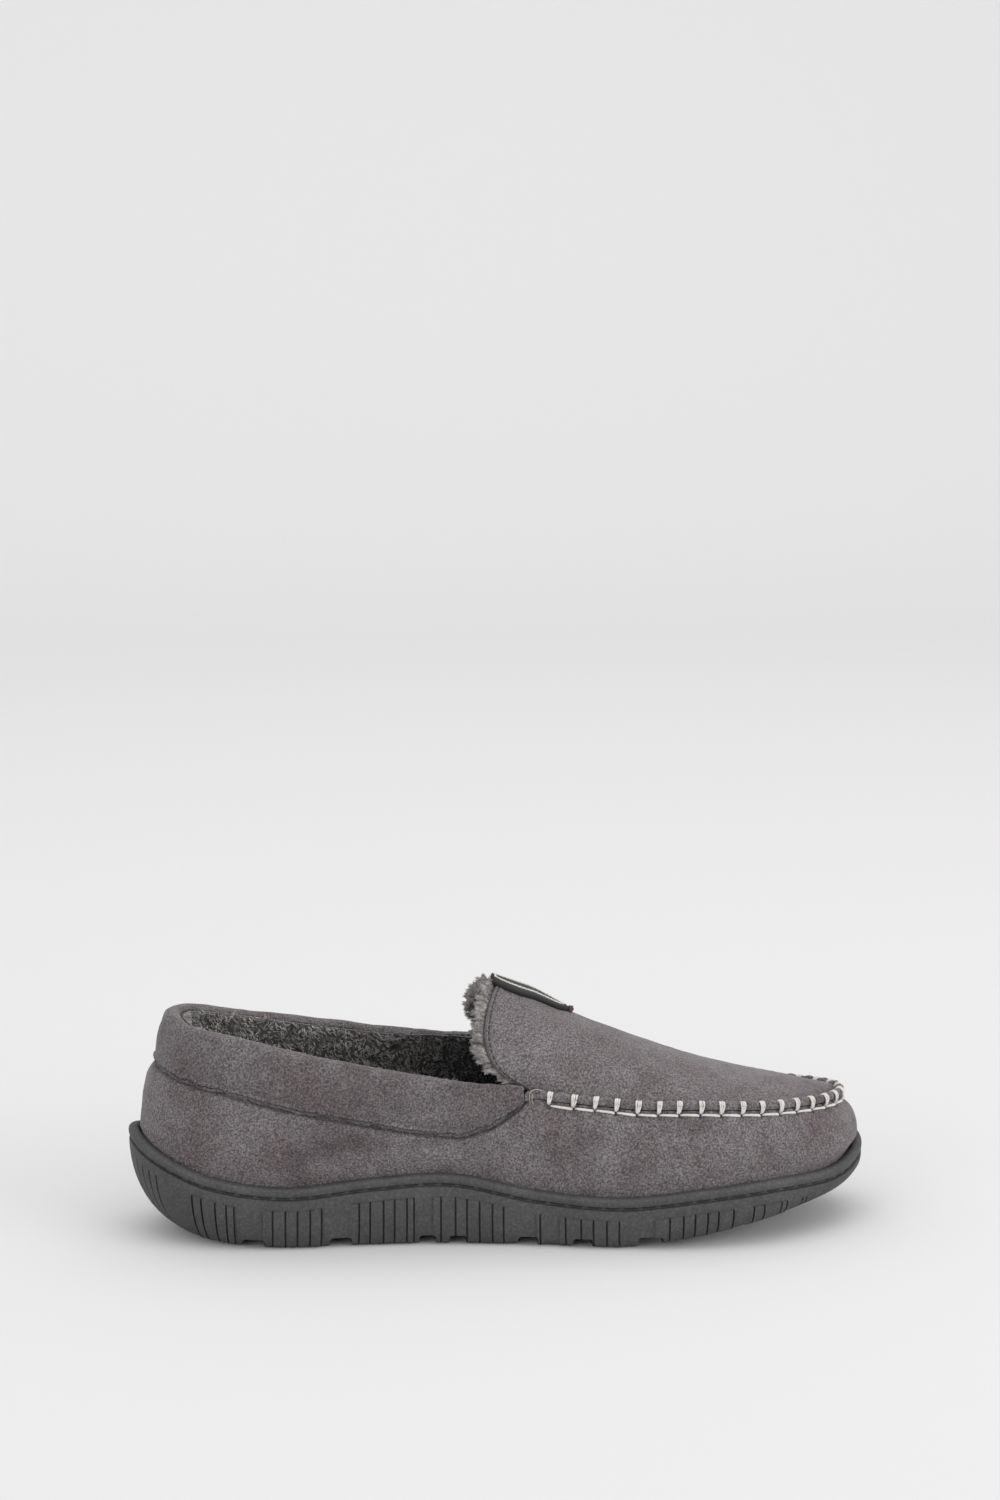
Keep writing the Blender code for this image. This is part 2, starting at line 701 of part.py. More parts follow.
slab("plug", plug_grid(0, 0), plug_grid(-SUEDE, 0), SUEDE_COLOUR, 0.95)
lining_top = -SUEDE - 3 * GAP
slab("plug_lining", plug_grid(lining_top, FUR_UNDER + 1.2), plug_grid(lining_top - FLEECE, FUR_UNDER + 1.2),
     FLEECE_COLOUR, 1.0)
edge_path = [plug(edge_row(v, EDGE_THREAD_IN), v, GAP + 0.15 + TOPSTITCH) for v in COLUMNS[1:-1]]
edge_sides = [plug(0.2, v, 1) - plug(0.2, v) for v in COLUMNS[1:-1]]
tube("plug_edge_thread", edge_path, edge_sides, TOPSTITCH, BLACK, 0.8)

# Fur showing behind the tongue's edge, held under it
fur_sections = []
for v in COLUMNS[1:-1]:
    back = unit(plug(0, v) - plug(0.3, v))
    top = -SUEDE - GAP
    tip = plug(0, v) + back * FUR_OUT
    rise = plug(0, v, 1) - plug(0, v)
    under = edge_row(v, FUR_UNDER)
    fur_sections.append([
        plug(under, v, top), plug(0, v, top), tip + rise * (top + 0.4), tip + rise * (top - FUR_THICK + 1),
        plug(0, v, top - FUR_THICK), plug(under, v, top - FUR_THICK + 0.6),
    ])
loft("tongue_fur", fur_sections, FUR_COLOUR, 1.0)


# Raised seam between side wall and plug, with its whip stitching.
def ridge_point(u, out, up):
    """Point beside the raised seam: out from its middle, up from its foot."""
    return top_ring(u, RIDGE_INSET - out, GAP + up)


ridge_sections = []
for u in FORE:
    w = RIDGE_HALF_WIDTH
    h = RIDGE_HEIGHT
    outline = ((-w, 0), (w, 0), (w, 0.65 * h), (0.55 * w, h), (-0.55 * w, h), (-w, 0.65 * h))
    ridge_sections.append([ridge_point(u, out, up) for out, up in outline])
loft("seam_ridge", ridge_sections, SUEDE_COLOUR, 0.95)


def along_ridge(share, out, up):
    """Point beside the ridge at a share of its length, on the straight runs between stations."""
    knots = np.array([ridge_point(u, 0, 0) for u in FORE])
    lengths = np.concatenate([[0], np.cumsum(np.linalg.norm(np.diff(knots, axis=0), axis=1))])
    target = share * lengths[-1]
    i = min(int(np.searchsorted(lengths, target, side="right")) - 1, len(FORE) - 2)
    t = (target - lengths[i]) / (lengths[i + 1] - lengths[i])
    return ridge_point(FORE[i], out, up) * (1 - t) + ridge_point(FORE[i + 1], out, up) * t


whip_path = []
reach = RIDGE_HALF_WIDTH + GAP + WHIP_THREAD + 0.1
over = RIDGE_HEIGHT + GAP + WHIP_THREAD
for k in range(WHIPS):
    share = (k + 0.5) / WHIPS
    turn = [(reach, -0.4), (reach, 0.6 * over), (0.5 * reach, over), (-0.35 * reach, over)]
    if k % 2:
        turn.reverse()
    whip_path += [along_ridge(share, out, up) for out, up in turn]
whip_sides = []
for i in range(len(whip_path)):
    before = whip_path[max(i - 1, 0)]
    after = whip_path[min(i + 1, len(whip_path) - 1)]
    side = np.cross(after - before, np.array([0.3, 0.2, 1.0]))
    whip_sides.append(unit(side))
tube("whip_thread", whip_path, whip_sides, WHIP_THREAD, WHITE, 0.7)

for name, u in (("seam_tack_inner", RIDGE_START - 0.06), ("seam_tack_outer", TURN - RIDGE_START + 0.06)):
    corners = ((2.2, -0.2), (2.2, 2.6), (0.9, 4.6), (-0.6, 4.8))
    path = [ridge_point(u, out, up) for out, up in corners]
    forward = ridge_point(u + 0.05, 0, 0) - ridge_point(u, 0, 0)
    tube(name, path, [forward] * len(path), 0.5, WHITE, 0.7)


# Badge on the crest of the tongue: a plain oval with a raised border line.
def on_crest(x, y, lift):
    """Point over the plug's outer face at x along the crest and y round it."""
    v = y / (TONGUE_RADIUS * math.pi / 2)
    low, high = 0.0, 1.6
    for _ in range(20):
        row = (low + high) / 2
        if plug(row, v)[0] < x:
            low = row
        else:
            high = row
    return plug(row, v, lift)


def oval(share, lift, count=20):
    loop = []
    for k in range(count):
        a = 2 * math.pi * k / count
        x = BADGE_X + share * BADGE_HALF[0] * math.cos(a)
        loop.append(on_crest(x, share * BADGE_HALF[1] * math.sin(a), lift))
    return loop


top = BADGE_LIFT + BADGE_THICK
badge_loops = [oval(0.5, BADGE_LIFT), oval(1, BADGE_LIFT), oval(1, top), oval(0.5, top)]
stack("badge", badge_loops, (0.02, 0.02, 0.021), 0.55)
foot = top + GAP
crown = foot + BORDER_THICK
border = [oval(share, lift) for share, lift in ((0.8, foot), (0.88, foot), (0.88, crown), (0.8, crown))]
loft("badge_border", [list(section) for section in zip(*border)], WHITE, 0.6, True)
tack_x = BADGE_X + BADGE_HALF[0] + 1.6
tack = [on_crest(tack_x, y, 1.3) for y in (-2.5, -1.0, 1.0, 2.5)]
tube("badge_tack", tack, [np.array([1.0, 0, 0])] * 4, 0.8, (0.09, 0.03, 0.04), 0.8)
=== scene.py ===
"""Looks of the fleece-lined moccasin slipper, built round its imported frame.

Lengths are millimetres until a mesh is made; toe along +X, inner side of the foot along -Y.
Round the shoe, u counts stations: 0 heel, 6 front end of the collar on the inner side, 12 toe
tip, 18 front end of the collar on the outer side, 24 heel again. Up the upper, s is 0 at the
sole's lip, 1 at the seam and 2 at the topline.
"""

import itertools
import math

import bpy
import numpy as np
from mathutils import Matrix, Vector


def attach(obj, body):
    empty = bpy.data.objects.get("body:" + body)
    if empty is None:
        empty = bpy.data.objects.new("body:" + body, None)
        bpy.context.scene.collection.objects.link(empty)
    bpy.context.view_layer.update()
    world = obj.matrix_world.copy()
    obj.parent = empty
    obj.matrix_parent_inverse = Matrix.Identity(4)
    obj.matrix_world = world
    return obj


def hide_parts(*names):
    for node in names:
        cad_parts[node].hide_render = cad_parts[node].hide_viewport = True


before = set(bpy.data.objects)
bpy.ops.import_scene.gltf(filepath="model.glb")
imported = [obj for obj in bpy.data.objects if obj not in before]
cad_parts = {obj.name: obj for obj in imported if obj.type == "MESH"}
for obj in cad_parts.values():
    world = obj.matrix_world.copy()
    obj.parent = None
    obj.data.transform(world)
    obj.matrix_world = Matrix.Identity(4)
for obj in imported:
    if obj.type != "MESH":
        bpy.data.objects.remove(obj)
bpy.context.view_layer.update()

MM = 0.001  # metres in a millimetre
SEED = 20
BLUNT = 0.7  # how far a tube's end point stands out, in its radii
TURN = 24  # stations in a full turn
GAP = 0.3  # clearance between neighbouring pieces
COLLAR_END = 5.85  # station of the collar's front ends
RIDGE_START = 6.1  # station where the raised seam starts
PLUG_END = 11.5  # station of the plug's last chord, at the toe

# One row per station, as in the frame: edge of the sole in plan, lip height, upper line of the side
# wall (x, y, z), tuck of the sole's bottom edge, bulge of the side wall. The inner side's topline is
# up to 1.7 mm higher than the frame's, and the heel's bottom edge is tucked in up to 3 mm more.
STATIONS = np.array((
    (-150, 0, 44.5, -133.5, 0, 93.5, 30, 0.5),
    (-141, -21, 39.0, -126, -21, 91.5, 28, 1.5),
    (-119, -33, 30.5, -105, -32, 88.2, 18, 3.0),
    (-88, -36, 26.0, -77, -34, 81.2, 8.5, 4.0),
    (-55, -35, 28.5, -48, -34, 74.2, 7.6, 4.0),
    (-22, -36.5, 30.0, -19, -35.5, 69.3, 7.6, 4.0),
    (12, -42, 23.6, 12, -38, 65.0, 7.6, 4.0),
    (45, -49, 21.4, 45, -41.5, 56.8, 7.6, 4.0),
    (78, -52, 24.6, 77, -43, 55.4, 8.5, 4.0),
    (108, -47, 26.6, 105, -39, 53.6, 9.5, 4.0),
    (135, -32, 26.6, 128, -26, 51.6, 11, 4.0),
    (149, -13, 29.5, 140, -11, 50.0, 13, 3.0),
    (152, 3, 32.3, 143, 2, 49.2, 14, 2.5),
    (147.5, 18, 31.5, 138, 15, 47.8, 13, 3.0),
    (131.5, 33, 29.0, 123, 28, 46.8, 11, 4.0),
    (105, 44.5, 28.0, 101, 37, 49.0, 9.5, 4.0),
    (75, 51, 25.4, 74, 42, 51.8, 8.5, 4.0),
    (42, 52, 22.5, 42, 43, 55.4, 7.6, 4.0),
    (8, 49, 24.0, 10, 41.5, 65.3, 7.6, 4.0),
    (-25, 44.5, 28.0, -20, 40.5, 71.2, 7.6, 4.0),
    (-57, 40.5, 27.5, -49, 38.5, 75.5, 7.6, 4.0),
    (-90, 38, 26.5, -77, 36, 80.3, 8.5, 4.0),
    (-120, 34, 31.0, -105, 32, 85.8, 18, 3.0),
    (-141, 22, 39.5, -126, 21, 90.8, 28, 1.5),
), float)
# Height of the seam under the collar at each station, heel at 0, inner side positive
COLLAR_SEAM = (
    (-6.0, 62.0), (-5.85, 59.0), (-5.6, 54.0), (-5.3, 49.5), (-5.0, 47.8), (-4, 52.0), (-3, 58.5),
    (-2, 65.5), (-1, 69.5), (0, 70.0), (1, 69.0), (2, 64.3), (3, 56.7), (4, 49.8), (5.0, 45.3),
    (5.3, 47.0), (5.55, 51.0), (5.82, 57.5), (6.0, 61.5),
)
# Height of the plug's crest at each x
CREST = (
    (-8, 103.0), (0, 101.0), (10, 96.6), (18, 92.6), (26, 88.2), (45, 79.6), (60, 73.8), (75, 68.8),
    (93, 63.4), (110, 59.2), (120, 57.0), (128, 55.2), (136, 53.4), (143, 51.6),
)
# Outline of the tongue's free edge: x at each share of the way from its middle to its corner
TONGUE_EDGE = (
    (0, -1.0), (0.23, -5.0), (0.45, -8.5), (0.6, -9.5), (0.75, -7.5), (0.85, -3.0),
    (0.92, 3.0), (1.0, 10.0),
)
TONGUE_RADIUS = 35.0  # of the arc that the tongue's edge follows across the instep
TONGUE_CENTRE = 66.0  # height of that arc's centre
TONGUE_ANGLE = 98.0  # from the arc's crest to each corner, in degrees
TONGUE_CORNER_IN = 2.5  # how much smaller the radius is at a corner
TONGUE_SKEW = 5.0  # how much further forward the edge is on one side
EDGE_THREAD_IN = 1.3  # row of stitches inside the tongue's edge
TONGUE_TRIM = 2.4  # the suede stops this far short of the fur's outer edge

LIP_WIDTH = 4.0  # from the sole's edge in to the upper
LIP_HEIGHT = 3.4
GROOVE_DEPTH = 1.7
GROOVE_HEIGHT = 1.7
FLOOR_FORE = 7.0
FLOOR_HEEL = 10.0
CUP_WALL = 3.5  # thickness of the cup at its floor
CUP_ROOM = 0.6  # between the cup and what it holds
TOE_SPRING = 0.185  # slope of the bottom under the toe
TOE_SPRING_FROM = 46.0  # x where the bottom leaves the ground
FLOOR_SPRING = 0.75  # share of that rise that the cup's floor has
TOE_SPRING_EASE = 12.0  # length over which the slope comes in
MIDSOLE_FORE = 2.5
MIDSOLE_HEEL = 7.0
HEEL_TO_FORE = (-60.0, 10.0)  # x where the heel's heights change to the forefoot's
BOARD = 1.6
FOAM = 3.5
PILE = 3.5
CHANNELS = (  # x and width of the tread's cross channels
    (-101, 9), (-66, 9), (-31, 7), (-19, 7), (9, 8), (30.5, 8), (57.5, 10),
)
CHANNEL_DEPTH = 4.2
CHANNEL_CHAMFER = 0.9

SUEDE = 1.6
FLEECE = 4.0
COUNTER_ROOM = 1.5  # room for the heel counter behind the lining
COUNTER_END = 2.5  # station where the counter ends
RING_DROP = 4.0  # how far the raised seam lies under the upper line
ROLL = 3.4  # radius of the collar's rolled top, and at its front ends
ROLL_END = 1.2
ROLL_TAPER_FROM = 4.0  # station where it starts to narrow
FACING = 1.0  # height of the collar's inner turn-down
FACING_SHOWN = 2.7  # how far under the topline the fleece starts
PILLOW = 1.2  # how far the collar's padding swells
RIDGE_HALF_WIDTH = 1.3
RIDGE_HEIGHT = 3.5
RIDGE_INSET = 0.6  # of the ridge's middle, inward from the upper line
PLUG_INSET = RIDGE_INSET + RIDGE_HALF_WIDTH + GAP
PLUG_LIFT = 0.3
WHIPS = 35
FUR_UNDER = 4.0  # how far under the suede the fur's backing reaches
BADGE_X = 12.0
BADGE_HALF = (17.5, 8.5)  # half its length and half its width
BADGE_LIFT = 0.5
BADGE_THICK = 1.6
SLOPE_FORE = 0.15  # forward lean of the plug's normals, at the toe and at the tongue
SLOPE_REAR = 0.5

# Cuts in the side of the sole (x), and the raised panels of ribs that they divide
SIPES = (
    -147.2, -145.2, -142.6, -139.8,
    -125.4, -121.8, -116.3, -111.9, -108.8, -93.5, -88.4, -83.6, -78.5, -73.9, -58.8, -54.4, -49.0,
    -44.6, -39.6, -36.8, -26.0, -20.2, -15.6, -10.6, -5.5, -1.1, 13.4, 23.4, 29.5, 34.3, 39.6, 44.5,
    64.5, 70.0, 74.7, 79.8, 84.2, 90.4, 98.9, 103.4, 110.8, 113.2, 120.6, 122.6,
)
PANELS = (
    (-126.3, -108.3), (-97.6, -73.4), (-62.6, -36.4), (-29.2, 1.2), (11.6, 15.0), (20.8, 46.6),
    (58.6, 91.0), (97.2, 113.9),
)
PANEL_PROUD = 0.8  # how far the panels of ribs stand out
SIPE_DEPTH = 1.35

WALL_COLUMNS = 1400
WALL_ROWS = 56
COLLAR_STEPS = 190  # columns of the simulated cloth
STITCH_RISE = 3.5  # dashes above the collar's lower edge
STITCH_PITCH = 2.1
FOLD_RISE = 1.2  # the fold line below them
CLOTH_FRAMES = 20
CLOTH_SHARE = 0.8  # how much of the simulated swelling is kept
CLOTH_CAP = 1.2  # the furthest a point may move

WHIP_FIRST = 2.6  # from the raised seam's start to its first stitch
WHIP_GAP = 1.5  # the first and the last gap between stitches are longer by this
WHIP_STRANDS = (-0.82, 0.0, 0.82)  # places of the strands side by side in a stitch
RIDGE_BACK = 6.0  # the ridge itself starts this far behind, at the collar's end
RIDGE_STEPS = 1500
RIDGE_SIDES = 28
PLUG_COLUMNS = 201
PLUG_ROWS = 160  # from the raised seam's start to the toe
HOLE_DOWN = 1.7  # stitch holes under the ridge, and how far each lies behind its stitch
HOLE_BACK = 0.7

# Soft folds of the side wall: from, to, half-width and depth
WALL_FOLDS = (
    ((-90, -38, 47), (-58, -39, 38), 2.6, 1.5), ((-97, -38, 42), (-76, -38, 35), 2.4, 0.9),
    ((-60, -39, 45), (-40, -39, 36), 2.2, 0.8), ((30, -45, 50), (37, -48, 38), 2.2, 1.0),
    ((44, -48, 36), (52, -49, 27), 2.2, 0.8), ((66, -46, 50), (72, -49, 42), 2.0, 0.6),
)
# Groups of short creases: place, direction, count, width, depth, reach and seed
WALL_CREASES = (
    ((-66, -40, 42), (0.8, 0.1, -0.4), 5, 2.6, 1.5, 15, 6),
    ((28, -44, 46), (0.6, 0.1, -1), 6, 2.0, 1.7, 12, 7),
    ((28, 46, 46), (0.5, 0.1, -1), 5, 1.4, 0.9, 12, 8),
    ((-66, 40, 46), (0.3, 0.1, -1), 4, 1.5, 0.8, 13, 9),
    ((112, -42, 40), (0.9, 0.2, -0.4), 3, 2.0, 0.5, 16, 10),
)
# Shallow hollows: x, y, z, reach and depth
WALL_HOLLOWS = ((-64, -38, 41, 15, 1.9), (14, -44, 38, 11, 1.3), (42, -47, 40, 9, 1.1))
HEEL_BULGE = 1.5
TOE_BULGE = 2.2
# Dark and light patches on the wall, partly the nap's own tone and partly painted shade of its creases and
# hollows: x, z, half-length, half-height and shade
NAP_AND_SHADE_PATCHES = (
    (-72, 42, 13, 5, 0.36), (-84, 37, 9, 5, 0.20), (-58, 44, 9, 3.5, 0.20), (34, 45, 6, 6, 0.26),
    (48, 31, 5, 5, 0.28), (72, 49, 9, 4, 0.15), (-129, 42, 9, 6, 0.14), (-24, 39, 10, 5, -0.16),
    (15, 50, 8, 5, -0.12), (39, 38, 4, 4, -0.14), (92, 38, 12, 6, -0.06), (112, 32, 8, 3, 0.10),
)
NAP_AND_SHADE_SHIFT = 23.0  # the far side's patches lie this far forward

FLEECE_THICK = 2.2  # thickness of the fleece's backing
QUARTER_CURLS = 12500
VAMP_CURLS = 1900  # on each side
PLUG_CURLS = 3600
SOCK_CURLS = 5600
FUR_HAIRS = 8200
FUR_TUFTS = 300
FUR_STEPS = 8

# ---------------------------------------------------------------- shape of the shoe

def unit(a):
    return a / np.maximum(np.linalg.norm(a, axis=-1, keepdims=True), 1e-12)


def blend(low, high, value):
    t = np.clip((np.asarray(value, float) - low) / (high - low), 0, 1)
    return t * t * (3 - 2 * t)


def smooth(table, x):
    """Height of the smooth curve through the table's (x, height) rows."""
    xs = np.array([row[0] for row in table], float)
    ys = np.array([row[1] for row in table], float)
    x = np.asarray(x, float)
    i = np.clip(np.searchsorted(xs, x) - 1, 0, len(xs) - 2)
    span = xs[i + 1] - xs[i]
    ends = np.arange(len(xs))
    a = np.maximum(ends - 1, 0)
    b = np.minimum(ends + 1, len(xs) - 1)
    slope = (ys[b] - ys[a]) / (xs[b] - xs[a])
    t = np.clip((x - xs[i]) / span, 0, 1)
    h = t * t * (3 - 2 * t)
    rise = slope[i] * span * t * (1 - t) ** 2 - slope[i + 1] * span * t * t * (1 - t)
    return ys[i] * (1 - h) + ys[i + 1] * h + rise


def cubic(p0, p1, p2, p3, t):
    """Smooth curve from p1 to p2, with p0 before and p3 after them."""
    bend = 2 * p0 - 5 * p1 + 4 * p2 - p3
    return 0.5 * (2 * p1 + (p2 - p0) * t + bend * t**2 + (3 * p1 - p0 - 3 * p2 + p3) * t**3)


def station(u):
    """Row of STATIONS at u, by a smooth curve through them."""
    u = np.asarray(u, float)
    i = np.floor(u).astype(int)
    return cubic(*(STATIONS[(i + k) % TURN] for k in (-1, 0, 1, 2)), (u - i)[..., None])


def plan_normal(u):
    """Level direction out of the shoe at u."""
    d = station(np.asarray(u, float) + 0.01) - station(np.asarray(u, float) - 0.01)
    return unit(np.stack([d[..., 1], -d[..., 0], 0 * d[..., 0]], -1))


def ring(u, inset, z):
    """Point at height z, this far inside the edge of the sole."""
    u, inset, z = np.broadcast_arrays(*(np.asarray(a, float) for a in (u, inset, z)))
    row = station(u)
    base = np.stack([row[..., 0], row[..., 1], z], -1)
    return base - inset[..., None] * plan_normal(u)


def ground(x):
    """Height of the sole's bottom: it springs up toward the toe."""
    d = np.maximum(0.0, np.asarray(x, float) - TOE_SPRING_FROM)
    return TOE_SPRING * d * d / (d + TOE_SPRING_EASE)


def floor_z(x):
    """Height of the cup's floor."""
    f = blend(*HEEL_TO_FORE, x)
    return FLOOR_SPRING * ground(x) + FLOOR_HEEL * (1 - f) + FLOOR_FORE * f


def midsole_top(x):
    f = blend(*HEEL_TO_FORE, x)
    return floor_z(x) + GAP + MIDSOLE_HEEL * (1 - f) + MIDSOLE_FORE * f


def board_top(x):
    return midsole_top(x) + GAP + BOARD


def foam_top(x):
    return board_top(x) + GAP + FOAM


def side_span(row):
    """Heights of the bottom and the top of the sole's side, and how square its section is."""
    high = row[..., 2] - LIP_HEIGHT - GROOVE_HEIGHT - 0.4
    return ground(row[..., 0]), high, 2 / (2 + 0.9 * blend(20, 8, row[..., 6]))


def sole_side(u, angle):
    """Point on the sole's side, from under the groove (0) round to the bottom (90 degrees)."""
    u, angle = np.broadcast_arrays(np.asarray(u, float), np.asarray(angle, float))
    row = station(u)
    tuck = row[..., 6]
    low, high, power = side_span(row)
    c = np.maximum(np.cos(np.radians(angle)), 0.0) ** power
    s = np.sin(np.radians(angle)) ** power
    return ring(u, 0.2 + tuck * (1 - c), high + (low - high) * s)


def cup(u, z, clearance=0.0):
    """Point on the inner face of the cup sole, or this far inside it."""
    u, z = np.broadcast_arrays(np.asarray(u, float), np.asarray(z, float))
    row = station(u)
    foot = floor_z(row[..., 0])
    top = row[..., 2]
    angles = np.arange(0, 91, 5.0)
    side = sole_side(u[..., None], angles)
    edge = ring(u, 0, 0)[..., None, :]
    inset = np.linalg.norm(side[..., :2] - edge[..., :2], axis=-1)
    heights = side[..., 2]
    k = np.clip((heights > foot[..., None]).sum(-1) - 1, 0, len(angles) - 2)[..., None]
    h0, h1 = np.take_along_axis(heights, k, -1), np.take_along_axis(heights, k + 1, -1)
    i0, i1 = np.take_along_axis(inset, k, -1), np.take_along_axis(inset, k + 1, -1)
    part = np.clip((foot[..., None] - h0) / np.minimum(h1 - h0, -1e-9), 0, 1)
    low = CUP_WALL + (i0 + (i1 - i0) * part)[..., 0]
    share = (z - foot) / (top - foot)
    return ring(u, low + (LIP_WIDTH - low) * share + clearance, z)


def wall(u, t):
    """Outer face of the upper, from the lip (0) to its upper line (1)."""
    u, t = np.broadcast_arrays(np.asarray(u, float), np.asarray(t, float))
    row = station(u)
    a = ring(u, LIP_WIDTH + CUP_ROOM, row[..., 2])
    b = row[..., 3:6]
    out = plan_normal(u) * row[..., 7:8]
    p1 = a + (b - a) / 3 + out
    p2 = a + (b - a) * 2 / 3 + out * 0.8
    t = t[..., None]
    return a * (1 - t) ** 3 + 3 * p1 * t * (1 - t) ** 2 + 3 * p2 * t * t * (1 - t) + b * t**3


def wall_up(u, t):
    """Direction up the wall."""
    t = np.asarray(t, float)
    return unit(wall(u, t + 0.01) - wall(u, t - 0.01))


def wall_normal(u, t):
    u = np.asarray(u, float)
    return unit(np.cross(wall(u + 0.02, t) - wall(u - 0.02, t), wall_up(u, t)))


def signed(u):
    """u counted from the heel, positive on the inner side."""
    u = np.asarray(u, float) % TURN
    return np.where(u <= TURN / 2, u, u - TURN)


def seam_table():
    """Where up the wall the seam lies at each station."""
    us = np.arange(0, TURN + 0.001, 0.02)
    away = np.abs(signed(us))
    near = np.minimum(us, TURN - us)
    collar = smooth(COLLAR_SEAM, signed(us))
    front = station(us)[:, 5] - RING_DROP * (1 - blend(6, 7, near))
    height = np.where(away < COLLAR_END + 0.01, collar, front)
    for lo, hi in ((COLLAR_END, 6.0), (TURN - 6.0, TURN - COLLAR_END)):
        inside = (us > lo) & (us < hi)
        ends = np.interp((lo - 0.001, hi + 0.001), us, height)
        height[inside] = np.interp(us[inside], (lo, hi), ends)
    ts = np.linspace(0, 1, 81)
    zs = wall(us[:, None], ts)[..., 2]
    return us, np.array([np.interp(h, z, ts) for h, z in zip(height, zs)])


SEAM_U, SEAM_T = seam_table()


def seam_t(u):
    return np.interp(np.asarray(u, float) % TURN, SEAM_U, SEAM_T)


def skin_t(u, s):
    """Share of the wall's height at s."""
    ts = seam_t(u)
    return np.where(np.asarray(s) <= 1, ts * s, ts + (1 - ts) * (np.asarray(s) - 1))


def skin(u, s, offset=0.0):
    """Point on the upper, this far off its outer face."""
    t = skin_t(u, s)
    return wall(u, t) + np.asarray(offset, float)[..., None] * wall_normal(u, t)


def wall_height(u):
    return np.linalg.norm(wall(u, seam_t(u)) - wall(u, 0), axis=-1)


def collar_height(u):
    return np.linalg.norm(wall(u, 1) - wall(u, seam_t(u)), axis=-1)


def roll(u):
    """Radius of the collar's rolled top."""
    return ROLL + (ROLL_END - ROLL) * blend(ROLL_TAPER_FROM, COLLAR_END, np.abs(signed(u)))


def pillow(s):
    """How far the padding stands out at s."""
    return PILLOW * np.sin(np.pi * (np.asarray(s, float) - 1))


def top_ring(u, inward, lift):
    """Point this far in from the wall's upper line, and this far above it."""
    up = np.stack(np.broadcast_arrays(0.0, 0.0, lift), -1)
    return wall(u, seam_t(u)) - np.asarray(inward, float)[..., None] * plan_normal(u) + up


def ridge_point(u, out, up):
    """Point on the raised seam, outward and upward from its middle."""
    return top_ring(u, RIDGE_INSET - np.asarray(out, float), GAP + np.asarray(up, float))


def chord(u, v):
    """Point on the plug on the chord from u to its opposite, v from -1 to 1, and its angle."""
    u, v = np.broadcast_arrays(np.asarray(u, float), np.asarray(v, float))
    a = top_ring(u, PLUG_INSET, PLUG_LIFT)
    b = top_ring(TURN - u, PLUG_INSET, PLUG_LIFT)
    half = np.linalg.norm(b - a, axis=-1) / 2
    middle = (a + b) / 2
    rise = np.maximum(smooth(CREST, middle[..., 0]) - middle[..., 2], 0.3)
    radius = (half**2 + rise**2) / (2 * rise)
    widest = np.arcsin(np.minimum(half / radius, 1.0))
    across = np.sin(v * widest) / np.sin(widest)
    lift = radius * (np.cos(v * widest) - np.cos(widest))
    point = middle + (b - a) / 2 * across[..., None]
    point[..., 2] += lift
    return point, v * widest


def edge_point(v):
    """Point on the tongue's free edge and its angle round the instep."""
    v = np.asarray(v, float)
    angle = v * math.radians(TONGUE_ANGLE)
    corner = np.maximum(0.0, (np.abs(v) - 0.8) / 0.2)
    radius = TONGUE_RADIUS - TONGUE_CORNER_IN * corner
    x = smooth(TONGUE_EDGE, np.abs(v)) + TONGUE_SKEW * np.maximum(v, 0.0) * (1 - corner)
    return np.stack([x, radius * np.sin(angle), TONGUE_CENTRE + radius * np.cos(angle)], -1), angle


def plug(row, v, offset=0.0):
    """row 0 is the tongue's edge, 1 the chord at the start of the raised seam, the toe at 2."""
    row, v, offset = np.broadcast_arrays(*(np.asarray(a, float) for a in (row, v, offset)))
    a, a_angle = edge_point(v)
    b, b_angle = chord(RIDGE_START, v)
    r = np.minimum(row, 1)
    rear = a + (b - a) * r[..., None]
    rear_angle = a_angle + (b_angle - a_angle) * r
    fore, fore_angle = chord(RIDGE_START + (PLUG_END - RIDGE_START) * (np.maximum(row, 1) - 1), v)
    front = row > 1
    point = np.where(front[..., None], fore, rear)
    angle = np.where(front, fore_angle, rear_angle)
    lean = SLOPE_REAR + (SLOPE_FORE - SLOPE_REAR) * np.minimum(1, 2 * (row - 1))
    slope = np.where(front, lean, SLOPE_REAR)
    normal = unit(np.stack([slope * np.cos(angle), np.sin(angle), np.cos(angle)], -1))
    return point + offset[..., None] * normal


def tongue_length(v):
    """From the tongue's edge to the start of the raised seam."""
    return np.linalg.norm(plug(1.0, v) - plug(0.0, v), axis=-1)


def plug_normal(row, v):
    return unit(plug(row, v, 1.0) - plug(row, v, 0.0))


# ---------------------------------------------------------------- mesh helpers

def run_along(points):
    """Length along a line of points, up to each."""
    return np.concatenate([[0], np.cumsum(np.linalg.norm(np.diff(points, axis=0), axis=1))])


def on_line(at, places, points):
    """Points of a line at these places, between its own points at given places."""
    return np.stack([np.interp(at, places, points[:, k]) for k in range(3)], -1)


def quads(rows, cols, wrap_rows=False, wrap_cols=False):
    """Faces of a grid of rows x cols points."""
    i = np.arange(rows if wrap_rows else rows - 1)[:, None]
    j = np.arange(cols if wrap_cols else cols - 1)[None, :]
    i2, j2 = (i + 1) % rows, (j + 1) % cols
    corners = (i * cols + j, i * cols + j2, i2 * cols + j2, i2 * cols + j)
    return np.stack(np.broadcast_arrays(*corners), -1).reshape(-1, 4)


